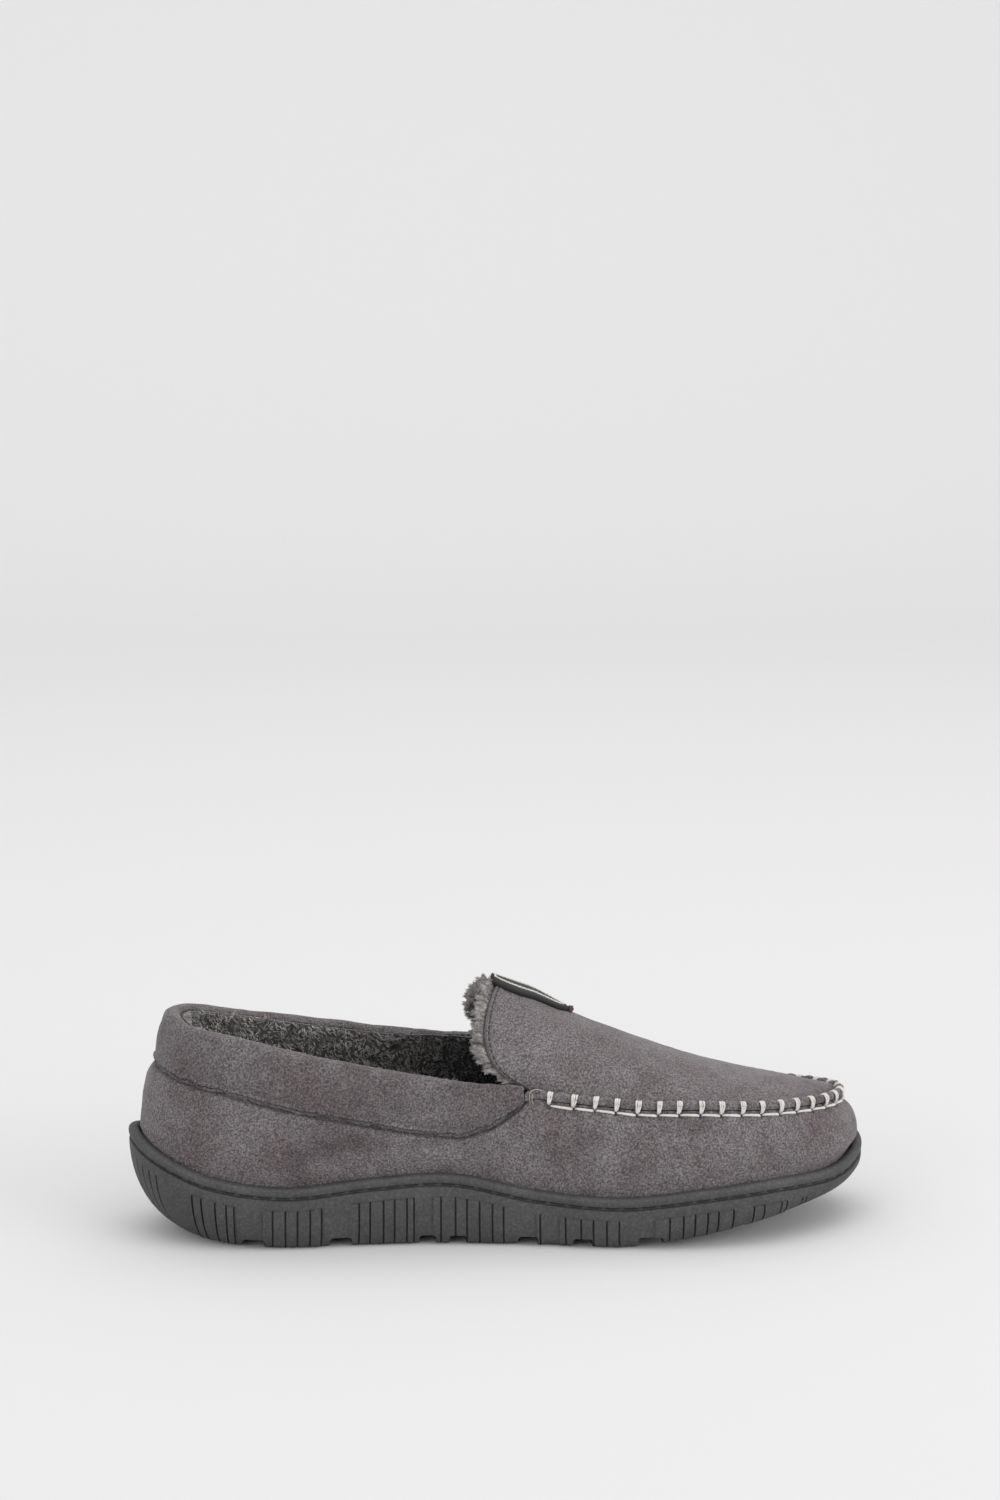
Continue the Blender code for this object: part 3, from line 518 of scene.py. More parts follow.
def add_mesh(name, points, faces, smooth_shaded=True, sharp=None):
    """One object from points in millimetres and a list of face arrays."""
    points = np.asarray(points, float).reshape(-1, 3) * MM
    groups = [np.asarray(f, int) for f in faces if len(f)]
    loops = np.concatenate([g.reshape(-1) for g in groups])
    sizes = np.concatenate([np.full(len(g), g.shape[1]) for g in groups])
    starts = np.concatenate([[0], np.cumsum(sizes)[:-1]])
    mesh = bpy.data.meshes.new(name)
    mesh.vertices.add(len(points))
    mesh.vertices.foreach_set("co", points.astype(np.float32).ravel())
    mesh.loops.add(len(loops))
    mesh.loops.foreach_set("vertex_index", loops.astype(np.int32))
    mesh.polygons.add(len(sizes))
    mesh.polygons.foreach_set("loop_start", starts.astype(np.int32))
    mesh.update(calc_edges=True)
    mesh.validate()
    obj = bpy.data.objects.new(name, mesh)
    bpy.context.scene.collection.objects.link(obj)
    if smooth_shaded:
        mesh.shade_smooth()
    if sharp:
        mesh.set_sharp_from_angle(angle=math.radians(sharp))
    return obj


def signed_volume(points, faces):
    total = 0.0
    for group in faces:
        p = points[group]
        for k in range(1, group.shape[1] - 1):
            total += np.einsum("ij,ij->i", p[:, 0], np.cross(p[:, k], p[:, k + 1])).sum()
    return total


def outward(points, faces):
    """The faces of a closed mesh, turned to face out."""
    points = np.asarray(points, float).reshape(-1, 3)
    faces = [np.asarray(f, int) for f in faces if len(f)]
    if signed_volume(points, faces) < 0:
        faces = [f[:, ::-1] for f in faces]
    return faces


def bar_faces(rows, cols):
    """Faces of a closed bar from a grid: every row is a closed outline, the first and last capped."""
    first = np.arange(cols)[None]
    return [quads(rows, cols, False, True), first[:, ::-1], first + (rows - 1) * cols]


def finish_piece(obj, material, replaces=()):
    obj.data.materials.clear()
    obj.data.materials.append(material)
    if replaces:
        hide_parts(*replaces)
    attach(obj, "root")
    return obj


def add_piece(name, shape, material, replaces=(), sharp=None):
    """A finished piece from its (points, faces)."""
    return finish_piece(add_mesh(name, *shape, sharp=sharp), material, replaces)


def add_bar(name, grid, material, replaces=(), sharp=None):
    """A finished closed bar from a grid of its outlines."""
    points = grid.reshape(-1, 3)
    shape = points, outward(points, bar_faces(*grid.shape[:2]))
    return add_piece(name, shape, material, replaces, sharp)


def sheet(top, low):
    """Points and faces of a closed sheet from the grids of its two faces."""
    rows, cols = top.shape[:2]
    count = rows * cols
    points = np.concatenate([top.reshape(-1, 3), low.reshape(-1, 3)])
    upper = quads(rows, cols)
    index = np.arange(count).reshape(rows, cols)
    rim = np.concatenate([index[0], index[1:, -1], index[-1, -2::-1], index[-2:0:-1, 0]])
    after = np.roll(rim, -1)
    side = np.stack([after, rim, rim + count, after + count], -1)
    return points, outward(points, [upper, upper[:, ::-1] + count, side])


def tubes(paths, radii, sides=6, ups=None, flat=1.0, closed=False):
    """Tubes along many paths at once: paths is (tubes, points, 3), radii (tubes, points).

    The ends come to a blunt point, and flat squeezes the section along the up direction."""
    paths = np.asarray(paths, float)
    count, length = paths.shape[:2]
    radii = np.broadcast_to(np.asarray(radii, float), (count, length))
    if closed:
        along = np.roll(paths, -1, 1) - np.roll(paths, 1, 1)
    else:
        along = np.gradient(paths, axis=1)
    along = unit(along)
    if ups is None:
        ups = np.broadcast_to(np.array([0.31, 0.22, 0.93]), paths.shape)
    ups = np.broadcast_to(ups, paths.shape)
    a = unit(np.cross(along, ups))
    b = np.cross(a, along)
    turn = np.arange(sides) * 2 * np.pi / sides
    section = a[:, :, None] * np.cos(turn)[:, None] + flat * b[:, :, None] * np.sin(turn)[:, None]
    points = paths[:, :, None] + radii[:, :, None, None] * section
    first = np.arange(count) * length * sides
    faces = (quads(length, sides, closed, True)[None] + first[:, None, None]).reshape(-1, 4)
    if closed:
        return points.reshape(-1, 3), [faces]
    tip0 = paths[:, 0] - along[:, 0] * radii[:, :1] * BLUNT
    tip1 = paths[:, -1] + along[:, -1] * radii[:, -1:] * BLUNT
    points = points.reshape(-1, 3)
    total = len(points)
    points = np.concatenate([points, np.stack([tip0, tip1], 1).reshape(-1, 3)])
    j = np.arange(sides)
    k = (j + 1) % sides
    base = first[:, None]
    tip = (total + np.arange(count) * 2)[:, None]
    cap0 = np.stack(np.broadcast_arrays(tip, base + k, base + j), -1).reshape(-1, 3)
    last = base + (length - 1) * sides
    cap1 = np.stack(np.broadcast_arrays(tip + 1, last + j, last + k), -1).reshape(-1, 3)
    return points, [faces, np.concatenate([cap0, cap1])]


def joined(parts):
    """Several (points, faces) as one; faces are grouped by their number of corners."""
    points, groups, shift = [], {}, 0
    for pts, faces in parts:
        points.append(np.asarray(pts).reshape(-1, 3))
        for f in faces:
            if len(f):
                groups.setdefault(f.shape[1], []).append(np.asarray(f) + shift)
        shift += len(points[-1])
    return np.concatenate(points), [np.concatenate(g) for g in groups.values()]


def strand_tubes(paths, radii):
    """Three-sided hairs that end in a point: few faces each."""
    paths = np.asarray(paths, float)
    count, length = paths.shape[:2]
    along = unit(np.gradient(paths, axis=1))
    a = unit(np.cross(along, np.array([0.21, 0.36, 0.91])))
    b = np.cross(a, along)
    turn = np.arange(3) * 2 * np.pi / 3
    section = a[:, :, None] * np.cos(turn)[:, None] + b[:, :, None] * np.sin(turn)[:, None]
    body = (paths[:, :, None] + np.broadcast_to(radii, (count, length))[:, :, None, None] * section)[:, :-1]
    per = (length - 1) * 3 + 1
    points = np.concatenate([body.reshape(count, -1, 3), paths[:, -1:]], 1).reshape(-1, 3)
    one = quads(length - 1, 3, False, True)
    last = (length - 2) * 3
    tip = np.array([(last + j, last + (j + 1) % 3, per - 1) for j in range(3)])
    shift = (np.arange(count) * per)[:, None, None]
    return points, [(one[None] + shift).reshape(-1, 4), (tip[None] + shift).reshape(-1, 3)]


def value_noise(p, scale, seed):
    """Smooth noise from -1 to 1 at points p, with lumps about this many millimetres across."""
    table = np.random.default_rng(seed).uniform(-1, 1, 4096)
    q = np.asarray(p, float) / scale
    i = np.floor(q).astype(np.int64)
    f = q - i
    f = f * f * (3 - 2 * f)

    def corner(dx, dy, dz):
        key = (i[..., 0] + dx) * 73856093 ^ (i[..., 1] + dy) * 19349663 ^ (i[..., 2] + dz) * 83492791
        return table[key & 4095]

    total = 0.0
    for dx, dy, dz in itertools.product((0, 1), repeat=3):
        wx, wy, wz = (f[..., k] if d else 1 - f[..., k] for k, d in enumerate((dx, dy, dz)))
        total = total + corner(dx, dy, dz) * wx * wy * wz
    return total


def scatter(grid, count, rng):
    """Random points over a grid of points, even by area, with their normals and grid places."""
    a, b = grid[:-1, :-1], grid[1:, :-1]
    c, d = grid[1:, 1:], grid[:-1, 1:]
    area = np.linalg.norm(np.cross(c - a, d - b), axis=-1).ravel() / 2
    pick = rng.choice(len(area), count, p=area / area.sum())
    cols = grid.shape[1] - 1
    i, j = pick // cols, pick % cols
    s, t = rng.random((count, 1)), rng.random((count, 1))
    p = (
        grid[i, j] * (1 - s) * (1 - t) + grid[i + 1, j] * s * (1 - t)
        + grid[i + 1, j + 1] * s * t + grid[i, j + 1] * (1 - s) * t
    )
    n = unit(np.cross(grid[i + 1, j] - grid[i, j], grid[i, j + 1] - grid[i, j]))
    return p, n, i + s[:, 0], j + t[:, 0]


# ---------------------------------------------------------------- materials

def new_material(name, rough, specular=None, sheen=None, sheen_rough=None):
    """A material with its constant values on the shader's own sockets."""
    material = bpy.data.materials.new(name)
    material.use_nodes = True
    tree = material.node_tree
    shader = tree.nodes["Principled BSDF"]
    values = {
        "Roughness": rough, "Specular IOR Level": specular, "Sheen Weight": sheen,
        "Sheen Roughness": sheen_rough,
    }
    for socket, value in values.items():
        if value is not None:
            shader.inputs[socket].default_value = value
    return material, tree, shader, object_space(tree)


def finish_material(tree, shader, colour, normal=None):
    tree.links.new(colour, shader.inputs["Base Color"])
    if normal is not None:
        tree.links.new(normal, shader.inputs["Normal"])


def node(tree, kind, **inputs):
    made = tree.nodes.new(kind)
    for key, value in inputs.items():
        made.inputs[key.replace("_", " ")].default_value = value
    return made


def object_space(tree):
    return tree.nodes.new("ShaderNodeTexCoord").outputs["Object"]


def noise(tree, where, scale, detail=3.0, rough=0.5):
    made = node(tree, "ShaderNodeTexNoise", Scale=scale, Detail=detail, Roughness=rough)
    tree.links.new(where, made.inputs["Vector"])
    return made.outputs["Fac"]


def ramp(tree, value, stops):
    """Colour of a value, from (place, colour) stops; a single number stands for a grey."""
    stops = [(place, (tone,) * 3 if isinstance(tone, float) else tuple(tone)) for place, tone in stops]
    made = tree.nodes.new("ShaderNodeValToRGB")
    for element, (place, colour) in zip(made.color_ramp.elements, (stops[0], stops[-1])):
        element.position, element.color = place, (*colour, 1)
    for place, colour in stops[1:-1]:
        made.color_ramp.elements.new(place).color = (*colour, 1)
    tree.links.new(value, made.inputs["Fac"])
    return made.outputs["Color"]


def times(tree, a, b):
    """One colour multiplied by another."""
    made = tree.nodes.new("ShaderNodeMix")
    made.data_type = "RGBA"
    made.blend_type = "MULTIPLY"
    made.inputs["Factor"].default_value = 1.0
    tree.links.new(a, made.inputs["A"])
    tree.links.new(b, made.inputs["B"])
    return made.outputs["Result"]


def map_range(tree, value, **limits):
    """A value taken from one range to another."""
    made = node(tree, "ShaderNodeMapRange", **limits)
    tree.links.new(value, made.inputs["Value"])
    return made.outputs["Result"]


def bump(tree, height, strength, distance, base=None):
    made = node(tree, "ShaderNodeBump", Strength=strength, Distance=distance)
    tree.links.new(height, made.inputs["Height"])
    if base is not None:
        tree.links.new(base, made.inputs["Normal"])
    return made.outputs["Normal"]


def suede_material(name, light=1.0, with_nap_and_shade=False):
    """Brushed suede: cloudy nap, a reddish cast in the darker patches and a fine light speckle."""
    material, tree, shader, where = new_material(name, 0.95, 0.18, 0.22, 0.45)
    base = np.array((0.108, 0.098, 0.100)) * light
    clouds = ramp(tree, noise(tree, where, 42), [
        (0.33, base * (0.82, 0.765, 0.78)), (0.5, base), (0.70, base * (1.13, 1.14, 1.14)),
    ])
    patches = ramp(tree, noise(tree, where, 150, 2), [
        (0.33, (0.92, 0.90, 0.91)), (0.52, 1.0), (0.70, 1.06),
    ])
    speckle = ramp(tree, noise(tree, where, 1250, 3, 0.8), [
        (0.38, (0.46, 0.45, 0.45)), (0.50, 1.0), (0.62, (1.80, 1.78, 1.78)),
    ])
    colour = times(tree, times(tree, clouds, patches), speckle)
    # the wall's colour attribute: the nap's own patches and painted shade of the creases
    if with_nap_and_shade:
        nap_and_shade = tree.nodes.new("ShaderNodeAttribute")
        nap_and_shade.attribute_name = "nap_and_shade"
        colour = times(tree, colour, nap_and_shade.outputs["Color"])
    shader.inputs["Sheen Tint"].default_value = (0.80, 0.76, 0.77, 1)
    soft = bump(tree, noise(tree, where, 300, 3, 0.6), 0.10, 0.0005)
    grain = bump(tree, noise(tree, where, 1100, 3, 0.8), 0.8, 0.0004, soft)
    finish_material(tree, shader, colour, grain)
    return material


def rubber_material(name):
    """Moulded rubber: faint cloudy wear, light dust and an uneven gloss."""
    material, tree, shader, where = new_material(name, 0.5, 0.4)
    clouds = ramp(tree, noise(tree, where, 60, 5, 0.6), [
        (0.3, (0.036, 0.036, 0.037)), (0.55, (0.047, 0.0465, 0.047)), (0.75, (0.058, 0.057, 0.057)),
    ])
    dust = ramp(tree, noise(tree, where, 900, 3, 0.7), [
        (0.38, 0.74), (0.52, 1.0), (0.70, (1.5, 1.49, 1.48)),
    ])
    rough = map_range(tree, noise(tree, where, 240, 3, 0.6), To_Min=0.52, To_Max=0.72)
    tree.links.new(rough, shader.inputs["Roughness"])
    pitted = bump(tree, noise(tree, where, 1300, 3, 0.7), 0.5, 0.0002)
    finish_material(tree, shader, times(tree, clouds, dust), pitted)
    return material


def thread_material(name, colour, pitch=1100.0, contrast=0.35):
    """Twisted thread: fine slanting ply lines, their dark painted shade in the grooves of the twist, and a
    little fluff.
    """
    material, tree, shader, where = new_material(name, 0.75, 0.3, 0.25)
    wave = node(tree, "ShaderNodeTexWave", Scale=pitch, Distortion=3.0, Detail=2.0)
    wave.bands_direction = "DIAGONAL"
    tree.links.new(where, wave.inputs["Vector"])
    # painted shade: darker bands where the grooves between the plies lie
    dark = tuple(c * (1 - contrast) for c in colour)
    plies = ramp(tree, wave.outputs["Fac"], [(0.1, dark), (0.6, colour)])
    tone = ramp(tree, noise(tree, where, 500, 3, 0.6), [(0.3, (0.86, 0.85, 0.83)), (0.65, 1.05)])
    twist = bump(tree, wave.outputs["Fac"], 0.5, 0.00015)
    finish_material(tree, shader, times(tree, plies, tone), twist)
    return material


def painted_opening_shade(tree, colour, where):
    """Painted shade: darkens the pile towards the closed front of the foot opening, where the tongue and
    the deep inside of the shoe shade it.
    """
    split = tree.nodes.new("ShaderNodeSeparateXYZ")
    tree.links.new(where, split.inputs[0])
    # painted shade: the colour falls from full to 0.12 of itself between x = -60 and -8 mm
    fade = map_range(tree, split.outputs["X"], From_Min=-0.060, From_Max=-0.008, To_Min=1.0, To_Max=0.12)
    return times(tree, colour, fade)


def fleece_base_material(name, colour, painted_shade=False):
    """Backing of a pile: light curls with painted shade in the gaps between them."""
    material, tree, shader, where = new_material(name, 1.0, sheen=0.3)
    cells = node(tree, "ShaderNodeTexVoronoi", Scale=520.0)
    tree.links.new(where, cells.inputs["Vector"])
    # painted shade: each cell darkens toward its edge, where the gaps between curls lie
    curls = ramp(tree, cells.outputs["Distance"], [(0.1, colour), (0.7, tuple(c * 0.35 for c in colour))])
    tone = ramp(tree, noise(tree, where, 160, 3, 0.6), [(0.35, 0.7), (0.65, 1.15)])
    shown = times(tree, curls, tone)
    # painted shade of the tongue and the shoe's inside on the backing
    if painted_shade:
        shown = painted_opening_shade(tree, shown, where)
    finish_material(tree, shader, shown, bump(tree, cells.outputs["Distance"], 0.8, 0.0012))
    return material


def fibre_material(name, dark, light, scale=420.0, painted_shade=False):
    """Wool fibres: each tuft a little lighter or darker than the next."""
    material, tree, shader, where = new_material(name, 0.85, 0.3, 0.35, 0.4)
    colour = ramp(tree, noise(tree, where, scale, 3, 0.7), [(0.34, dark), (0.66, light)])
    # painted shade of the tongue and the shoe's inside on the fibres
    if painted_shade:
        colour = painted_opening_shade(tree, colour, where)
    finish_material(tree, shader, colour)
    return material


def plain_fibrous(name, colour, scale=300.0, rough=0.9, bump_distance=0.0003):
    """Felted or foamed stuff of nearly one colour."""
    material, tree, shader, where = new_material(name, rough)
    field = noise(tree, where, scale, 5, 0.7)
    low, high = tuple(c * 0.75 for c in colour), tuple(min(c * 1.2, 1) for c in colour)
    colour = ramp(tree, field, [(0.3, low), (0.7, high)])
    finish_material(tree, shader, colour, bump(tree, field, 0.5, bump_distance))
    return material


SUEDE_WALL = suede_material("suede_wall", 1.02, with_nap_and_shade=True)
SUEDE_COLLAR = suede_material("suede_collar", 0.89)
SUEDE_PLUG = suede_material("suede_plug", 1.01)
RUBBER = rubber_material("rubber")
BLACK_THREAD = thread_material("black_thread", (0.016, 0.015, 0.016), contrast=0.5)
WHITE_THREAD = thread_material("white_thread", (0.66, 0.645, 0.62), pitch=900, contrast=0.40)
NATURAL_THREAD = thread_material("natural_thread", (0.55, 0.50, 0.42))
MAROON_THREAD = thread_material("maroon_thread", (0.075, 0.02, 0.03), contrast=0.5)
# The fleece backing and fibres carry painted shade toward the front of the foot opening
FLEECE_BASE = fleece_base_material("fleece_base", (0.115, 0.108, 0.102), painted_shade=True)
FLEECE_FIBRE = fibre_material("fleece_fibre", (0.13, 0.12, 0.113), (0.50, 0.48, 0.46), 190.0, painted_shade=True)
FUR_BASE = fleece_base_material("fur_base", (0.05, 0.042, 0.038))
FUR_FIBRE = fibre_material("fur_fibre", (0.12, 0.108, 0.104), (0.46, 0.44, 0.43), 300.0)
BADGE_PATCH = plain_fibrous("badge_patch", (0.012, 0.0115, 0.012), 900, 0.85, 0.0002)
BADGE_FIELD = plain_fibrous("badge_field", (0.028, 0.027, 0.028), 900, 0.85, 0.0002)
BOARD_FIBRE = plain_fibrous("board_fibre", (0.085, 0.078, 0.072))
COUNTER_FIBRE = plain_fibrous("counter_fibre", (0.50, 0.42, 0.32))
EVA = plain_fibrous("eva", (0.35, 0.35, 0.36), 1200, 0.8, 0.0001)
FOAM_CELLS = plain_fibrous("foam_cells", (0.62, 0.60, 0.50), 1500, 0.95, 0.0004)


# ---------------------------------------------------------------- outsole

def side_columns():
    """Columns round the sole: u of each, and the part of a sipe's depth that it takes."""
    dense = np.linspace(0, TURN, 4801)
    edge = ring(dense, 0, 0)
    run = run_along(edge)
    inner = dense < TURN / 2
    cuts = []
    for x in SIPES:
        for half in (inner, ~inner):
            xs = edge[half, 0]
            order = np.argsort(xs)
            cuts.append(np.interp(x, xs[order], run[half][order]))
    cuts = np.array(sorted(cuts))
    even = np.linspace(0, run[-1], 900, endpoint=False)
    clear = np.min(np.abs(even[:, None] - cuts[None]), axis=1) > 0.95
    places, depth = [even[clear]], [np.zeros(clear.sum())]
    section = ((0.75, 0.0), (0.42, 0.0), (0.30, 0.25), (0.22, 1.0))
    for shift, part in [(-x, part) for x, part in section] + list(section[::-1]):
        places.append(cuts + shift)
        depth.append(np.full(len(cuts), part))
    places, depth = np.concatenate(places), np.concatenate(depth)
    order = np.argsort(places)
    return np.interp(places[order], run, dense), depth[order]


def round_fill(size, start):
    """Faces that fill a loop by rungs from one side of the shoe to the other."""
    half = size // 2
    rungs = [(start + i, start + i + 1, start + size - i - 1, start + size - i) for i in range(1, half - 1)]
    ends = [(start, start + 1, start + size - 1), (start + half - 1, start + half, start + half + 1)]
    return np.array(rungs), np.array(ends)


# Section of the sole's lip and stitch groove: inset from the edge, and height from the lip's top
LIP_SECTION = (
    (LIP_WIDTH, -0.7), (3.6, -0.25), (2.9, -0.03), (2.1, 0.0), (1.3, -0.14), (0.72, -0.42),
    (0.30, -0.85), (0.08, -1.35), (0.0, -1.9), (0.03, -2.6), (0.14, -3.2), (0.38, -3.62),
)
# The same from the lip's lower corner down
GROOVE_SECTION = (
    (0.75, 0.0), (1.3, -0.06), (1.62, -0.2), (GROOVE_DEPTH, -0.5), (GROOVE_DEPTH, -1.2),
    (1.55, -1.5), (1.2, -1.66), (0.75, -GROOVE_HEIGHT - 0.04), (0.42, -GROOVE_HEIGHT - 0.14),
)


def side_angle(row, drop, most):
    """Angle round the sole's side at this depth under its top."""
    low, high, power = side_span(row)
    return np.degrees(np.arcsin(np.clip(drop / (high - low), 0.05, most) ** (1 / power)))


def cut_channels(obj):
    """Cuts the tread's cross channels out of the sole's bottom."""
    cutters = []
    for x, width in CHANNELS:
        half, deep = width / 2, CHANNEL_DEPTH
        right = (
            (half - CHANNEL_CHAMFER, deep), (half, deep - CHANNEL_CHAMFER), (half, 0.3),
            (half + 0.5, -0.2), (half + 0.5, -3.0),
        )
        outline = [(-px, pz) for px, pz in right[::-1]] + list(right)
        points = np.array([[(x + px, y, ground(x) + pz) for px, pz in outline] for y in (-70.0, 70.0)])
        cutters.append((points, bar_faces(2, len(outline))))
    points, faces = joined(cutters)
    cutter = add_mesh("channel_cutter", points, outward(points, faces), False)
    change = obj.modifiers.new("channels", "BOOLEAN")
    change.operation = "DIFFERENCE"
    change.solver = "MANIFOLD"
    change.object = cutter
    apply_modifiers(obj)
    bpy.data.objects.remove(cutter, do_unlink=True)


def make_outsole():
    """Cup, lip, groove, side with sipes and panels, and bottom, as loops round the shoe."""
    u, cut = side_columns()
    if len(u) % 2:
        u, cut = u[:-1], cut[:-1]
    row = station(u)
    x, lip = row[:, 0], row[:, 2]
    loops = [cup(u, floor_z(x)), cup(u, floor_z(x) * 0.5 + lip * 0.5)]
    loops += [ring(u, inset, lip + rise) for inset, rise in LIP_SECTION]
    loops += [ring(u, inset, lip + (rise - LIP_HEIGHT)) for inset, rise in GROOVE_SECTION]
    start, end = side_angle(row, 3.6, 0.8), side_angle(row, 3.95, 0.85)
    levels = [(start * share, 0.0) for share in np.linspace(0, 1, 5)] + [(end, 1.0)]
    for share in np.linspace(0, 1, 15)[1:]:
        levels.append((end + (90 - end) * share, 1.0 - 0.5 * blend(0.8, 1.0, share)))
    fore_fade = 1 - blend(122, 128, x)
    panel = sum(blend(lo - 0.25, lo + 0.25, x) * (1 - blend(hi - 0.25, hi + 0.25, x)) for lo, hi in PANELS)
    normal = plan_normal(u)
    for angle, part in levels:
        inward = SIPE_DEPTH * cut * part * fore_fade - PANEL_PROUD * panel * part
        loops.append(sole_side(u, angle) - normal * inward[:, None])
    for inset in (2.0, 6.0, 12.0):
        loops.append(sole_side(u, 90.0) - normal * inset)
        loops[-1][:, 2] = ground(loops[-1][:, 0])
    points = np.concatenate(loops)
    size = len(u)
    top_rungs, top_ends = round_fill(size, 0)
    low_rungs, low_ends = round_fill(size, (len(loops) - 1) * size)
    fours = [quads(len(loops), size, False, True), top_rungs[:, ::-1], low_rungs]
    faces = [np.concatenate([top_ends[:, ::-1], low_ends]), np.concatenate(fours)]
    obj = add_mesh("outsole_shell", points, outward(points, faces))
    cut_channels(obj)
    obj.name = "outsole_moulded"
    obj.data.shade_smooth()
    obj.data.set_sharp_from_angle(angle=math.radians(38))
    finish_piece(obj, RUBBER, ("outsole",))


def apply_modifiers(obj):
    graph = bpy.context.evaluated_depsgraph_get()
    graph.update()
    mesh = bpy.data.meshes.new_from_object(obj.evaluated_get(graph))
    old = obj.data
    obj.modifiers.clear()
    obj.data = mesh
    bpy.data.meshes.remove(old)


def dashes(us, point_at, normal_at, pitch, share, radius, lift, sides=6, flat=0.8, steps=7, sink=0.45):
    """Running stitch: a dash between holes, its ends diving into the surface."""
    run = run_along(point_at(us, 0 * us))
    at = np.arange(pitch * 0.3, run[-1], pitch)
    at = at[at + pitch * share < run[-1]]
    t = np.linspace(0, 1, steps)
    uu = np.interp(at[:, None] + t * pitch * share, run, us)
    rise = lift - sink * np.abs(2 * t - 1) ** 5
    swell = radius * (1 - 0.35 * np.abs(2 * t - 1) ** 3)
    paths = point_at(uu, np.broadcast_to(rise, uu.shape))
    return tubes(paths, np.broadcast_to(swell, uu.shape), sides, normal_at(uu), flat)


def make_sole_stitch():
    """Long stitches in the groove round the sole."""

    def at(u, rise):
        middle = station(u)[..., 2] - LIP_HEIGHT - GROOVE_HEIGHT / 2
        return ring(u, GROOVE_DEPTH - 0.35 - np.asarray(rise, float), middle)

    us = np.linspace(0, TURN, 2401)
    stitches = dashes(us, at, plan_normal, 7.4, 0.80, 0.5, 0.1, 8, 0.85, 11, 0.75)
    add_piece("sole_stitches", stitches, BLACK_THREAD, ("sole_stitch_thread",))


# ---------------------------------------------------------------- upper

def creases(p, place, direction, count, width, depth, reach, seed):
    """Soft folds near a place: a few short wavy valleys, fading away from it."""
    rng = np.random.default_rng(seed)
    direction = unit(np.array(direction, float))
    out = np.zeros(p.shape[:-1])
    for _ in range(count):
        centre = np.array(place, float) + rng.normal(0, reach * 0.45, 3)
        turn = unit(direction + rng.normal(0, 0.35, 3))
        rel = p - centre
        along = rel @ turn
        away = rel - along[..., None] * turn
        wave = np.sin(along / reach * 2.5 + rng.uniform(0, 6)) * width * 0.5
        valley = np.exp(-((np.linalg.norm(away, axis=-1) + wave) / width) ** 2)
        out += -depth * rng.uniform(0.5, 1) * valley * np.exp(-(along / (reach * 0.6)) ** 2)
    return out


RIDGE_US = np.linspace(RIDGE_START, TURN - RIDGE_START, 1801)
RIDGE_RUN = run_along(ridge_point(RIDGE_US, 0 * RIDGE_US, 0 * RIDGE_US))
WHIP_PITCH = (RIDGE_RUN[-1] - 2 * WHIP_FIRST - 2 * WHIP_GAP) / (WHIPS - 1)
WHIP_AT = WHIP_FIRST + WHIP_GAP + WHIP_PITCH * np.arange(WHIPS)
WHIP_AT[0] -= WHIP_GAP
WHIP_AT[-1] += WHIP_GAP
RIDGE_RATE = RIDGE_RUN[-1] / (RIDGE_US[-1] - RIDGE_US[0])


def ridge_run(u):
    """Length along the raised seam at u; beyond its ends it goes on at the same rate."""
    u = np.asarray(u, float)
    inside = np.interp(u, RIDGE_US, RIDGE_RUN)
    beyond = np.minimum(u - RIDGE_US[0], 0) + np.maximum(u - RIDGE_US[-1], 0)
    return inside + RIDGE_RATE * beyond


def u_at_run(run):
    """u at a length along the raised seam."""
    run = np.asarray(run, float)
    beyond = np.minimum(run, 0) + np.maximum(run - RIDGE_RUN[-1], 0)
    return np.interp(run, RIDGE_RUN, RIDGE_US) + beyond / RIDGE_RATE


def whip_count(run):
    """Stitches passed at a length along the seam: 0 at the first, whole at each, on past both ends."""
    at = np.concatenate([[WHIP_AT[0] - 3 * WHIP_PITCH], WHIP_AT, [WHIP_AT[-1] + 3 * WHIP_PITCH]])
    return np.interp(run, at, np.concatenate([[-3], np.arange(WHIPS), [WHIPS + 2]]))


def pinch(u):
    """1 at a whip stitch, 0 midway between two, and 0 beyond the seam's ends."""
    run = ridge_run(u)
    wave = 0.5 + 0.5 * np.cos(2 * np.pi * whip_count(run))
    ends = blend(-3, 2, run) * (1 - blend(RIDGE_RUN[-1] - 2, RIDGE_RUN[-1] + 3, run))
    return wave * ends


def crease_line(p, a, b, wide, deep):
    """A soft fold along a line: a valley with a low swelling below it."""
    along = b - a
    share = np.clip(((p - a) @ along) / (along @ along), 0, 1)
    away = p - (a + share[..., None] * along)
    far = np.linalg.norm(away, axis=-1)
    side = np.where(away[..., 2] < 0, 1.0, -1.0)
    fade = np.sin(np.pi * np.clip(share * 0.9 + 0.05, 0, 1)) ** 0.7
    swell = 0.55 * np.exp(-((far * side - 1.9 * wide) / (1.1 * wide)) ** 2)
    swell = swell * np.exp(-(far / (4 * wide)) ** 4)
    return deep * fade * (swell - np.exp(-(far / wide) ** 2))


def nap_and_crease_shade(points):
    """Where the wall is painted dark or light: the nap's own tone, and painted shade of the creases and
    hollows.
    """
    shade = np.ones(len(points))
    near = points[:, 1] < 0
    for x, z, long, high, amount in NAP_AND_SHADE_PATCHES:
        for side, shift, lift in ((near, 0.0, 0.0), (~near, NAP_AND_SHADE_SHIFT, 0.2)):
            far = ((points[:, 0] - x - shift) / long) ** 2 + ((points[:, 2] - z - lift) / high) ** 2
            shade -= amount * np.exp(-far) * side
    return shade


def slack_noise(p, lumps):
    """Sum of noises, each row its height, size and seed."""
    return sum(height * value_noise(p, size, seed) for height, size, seed in lumps)


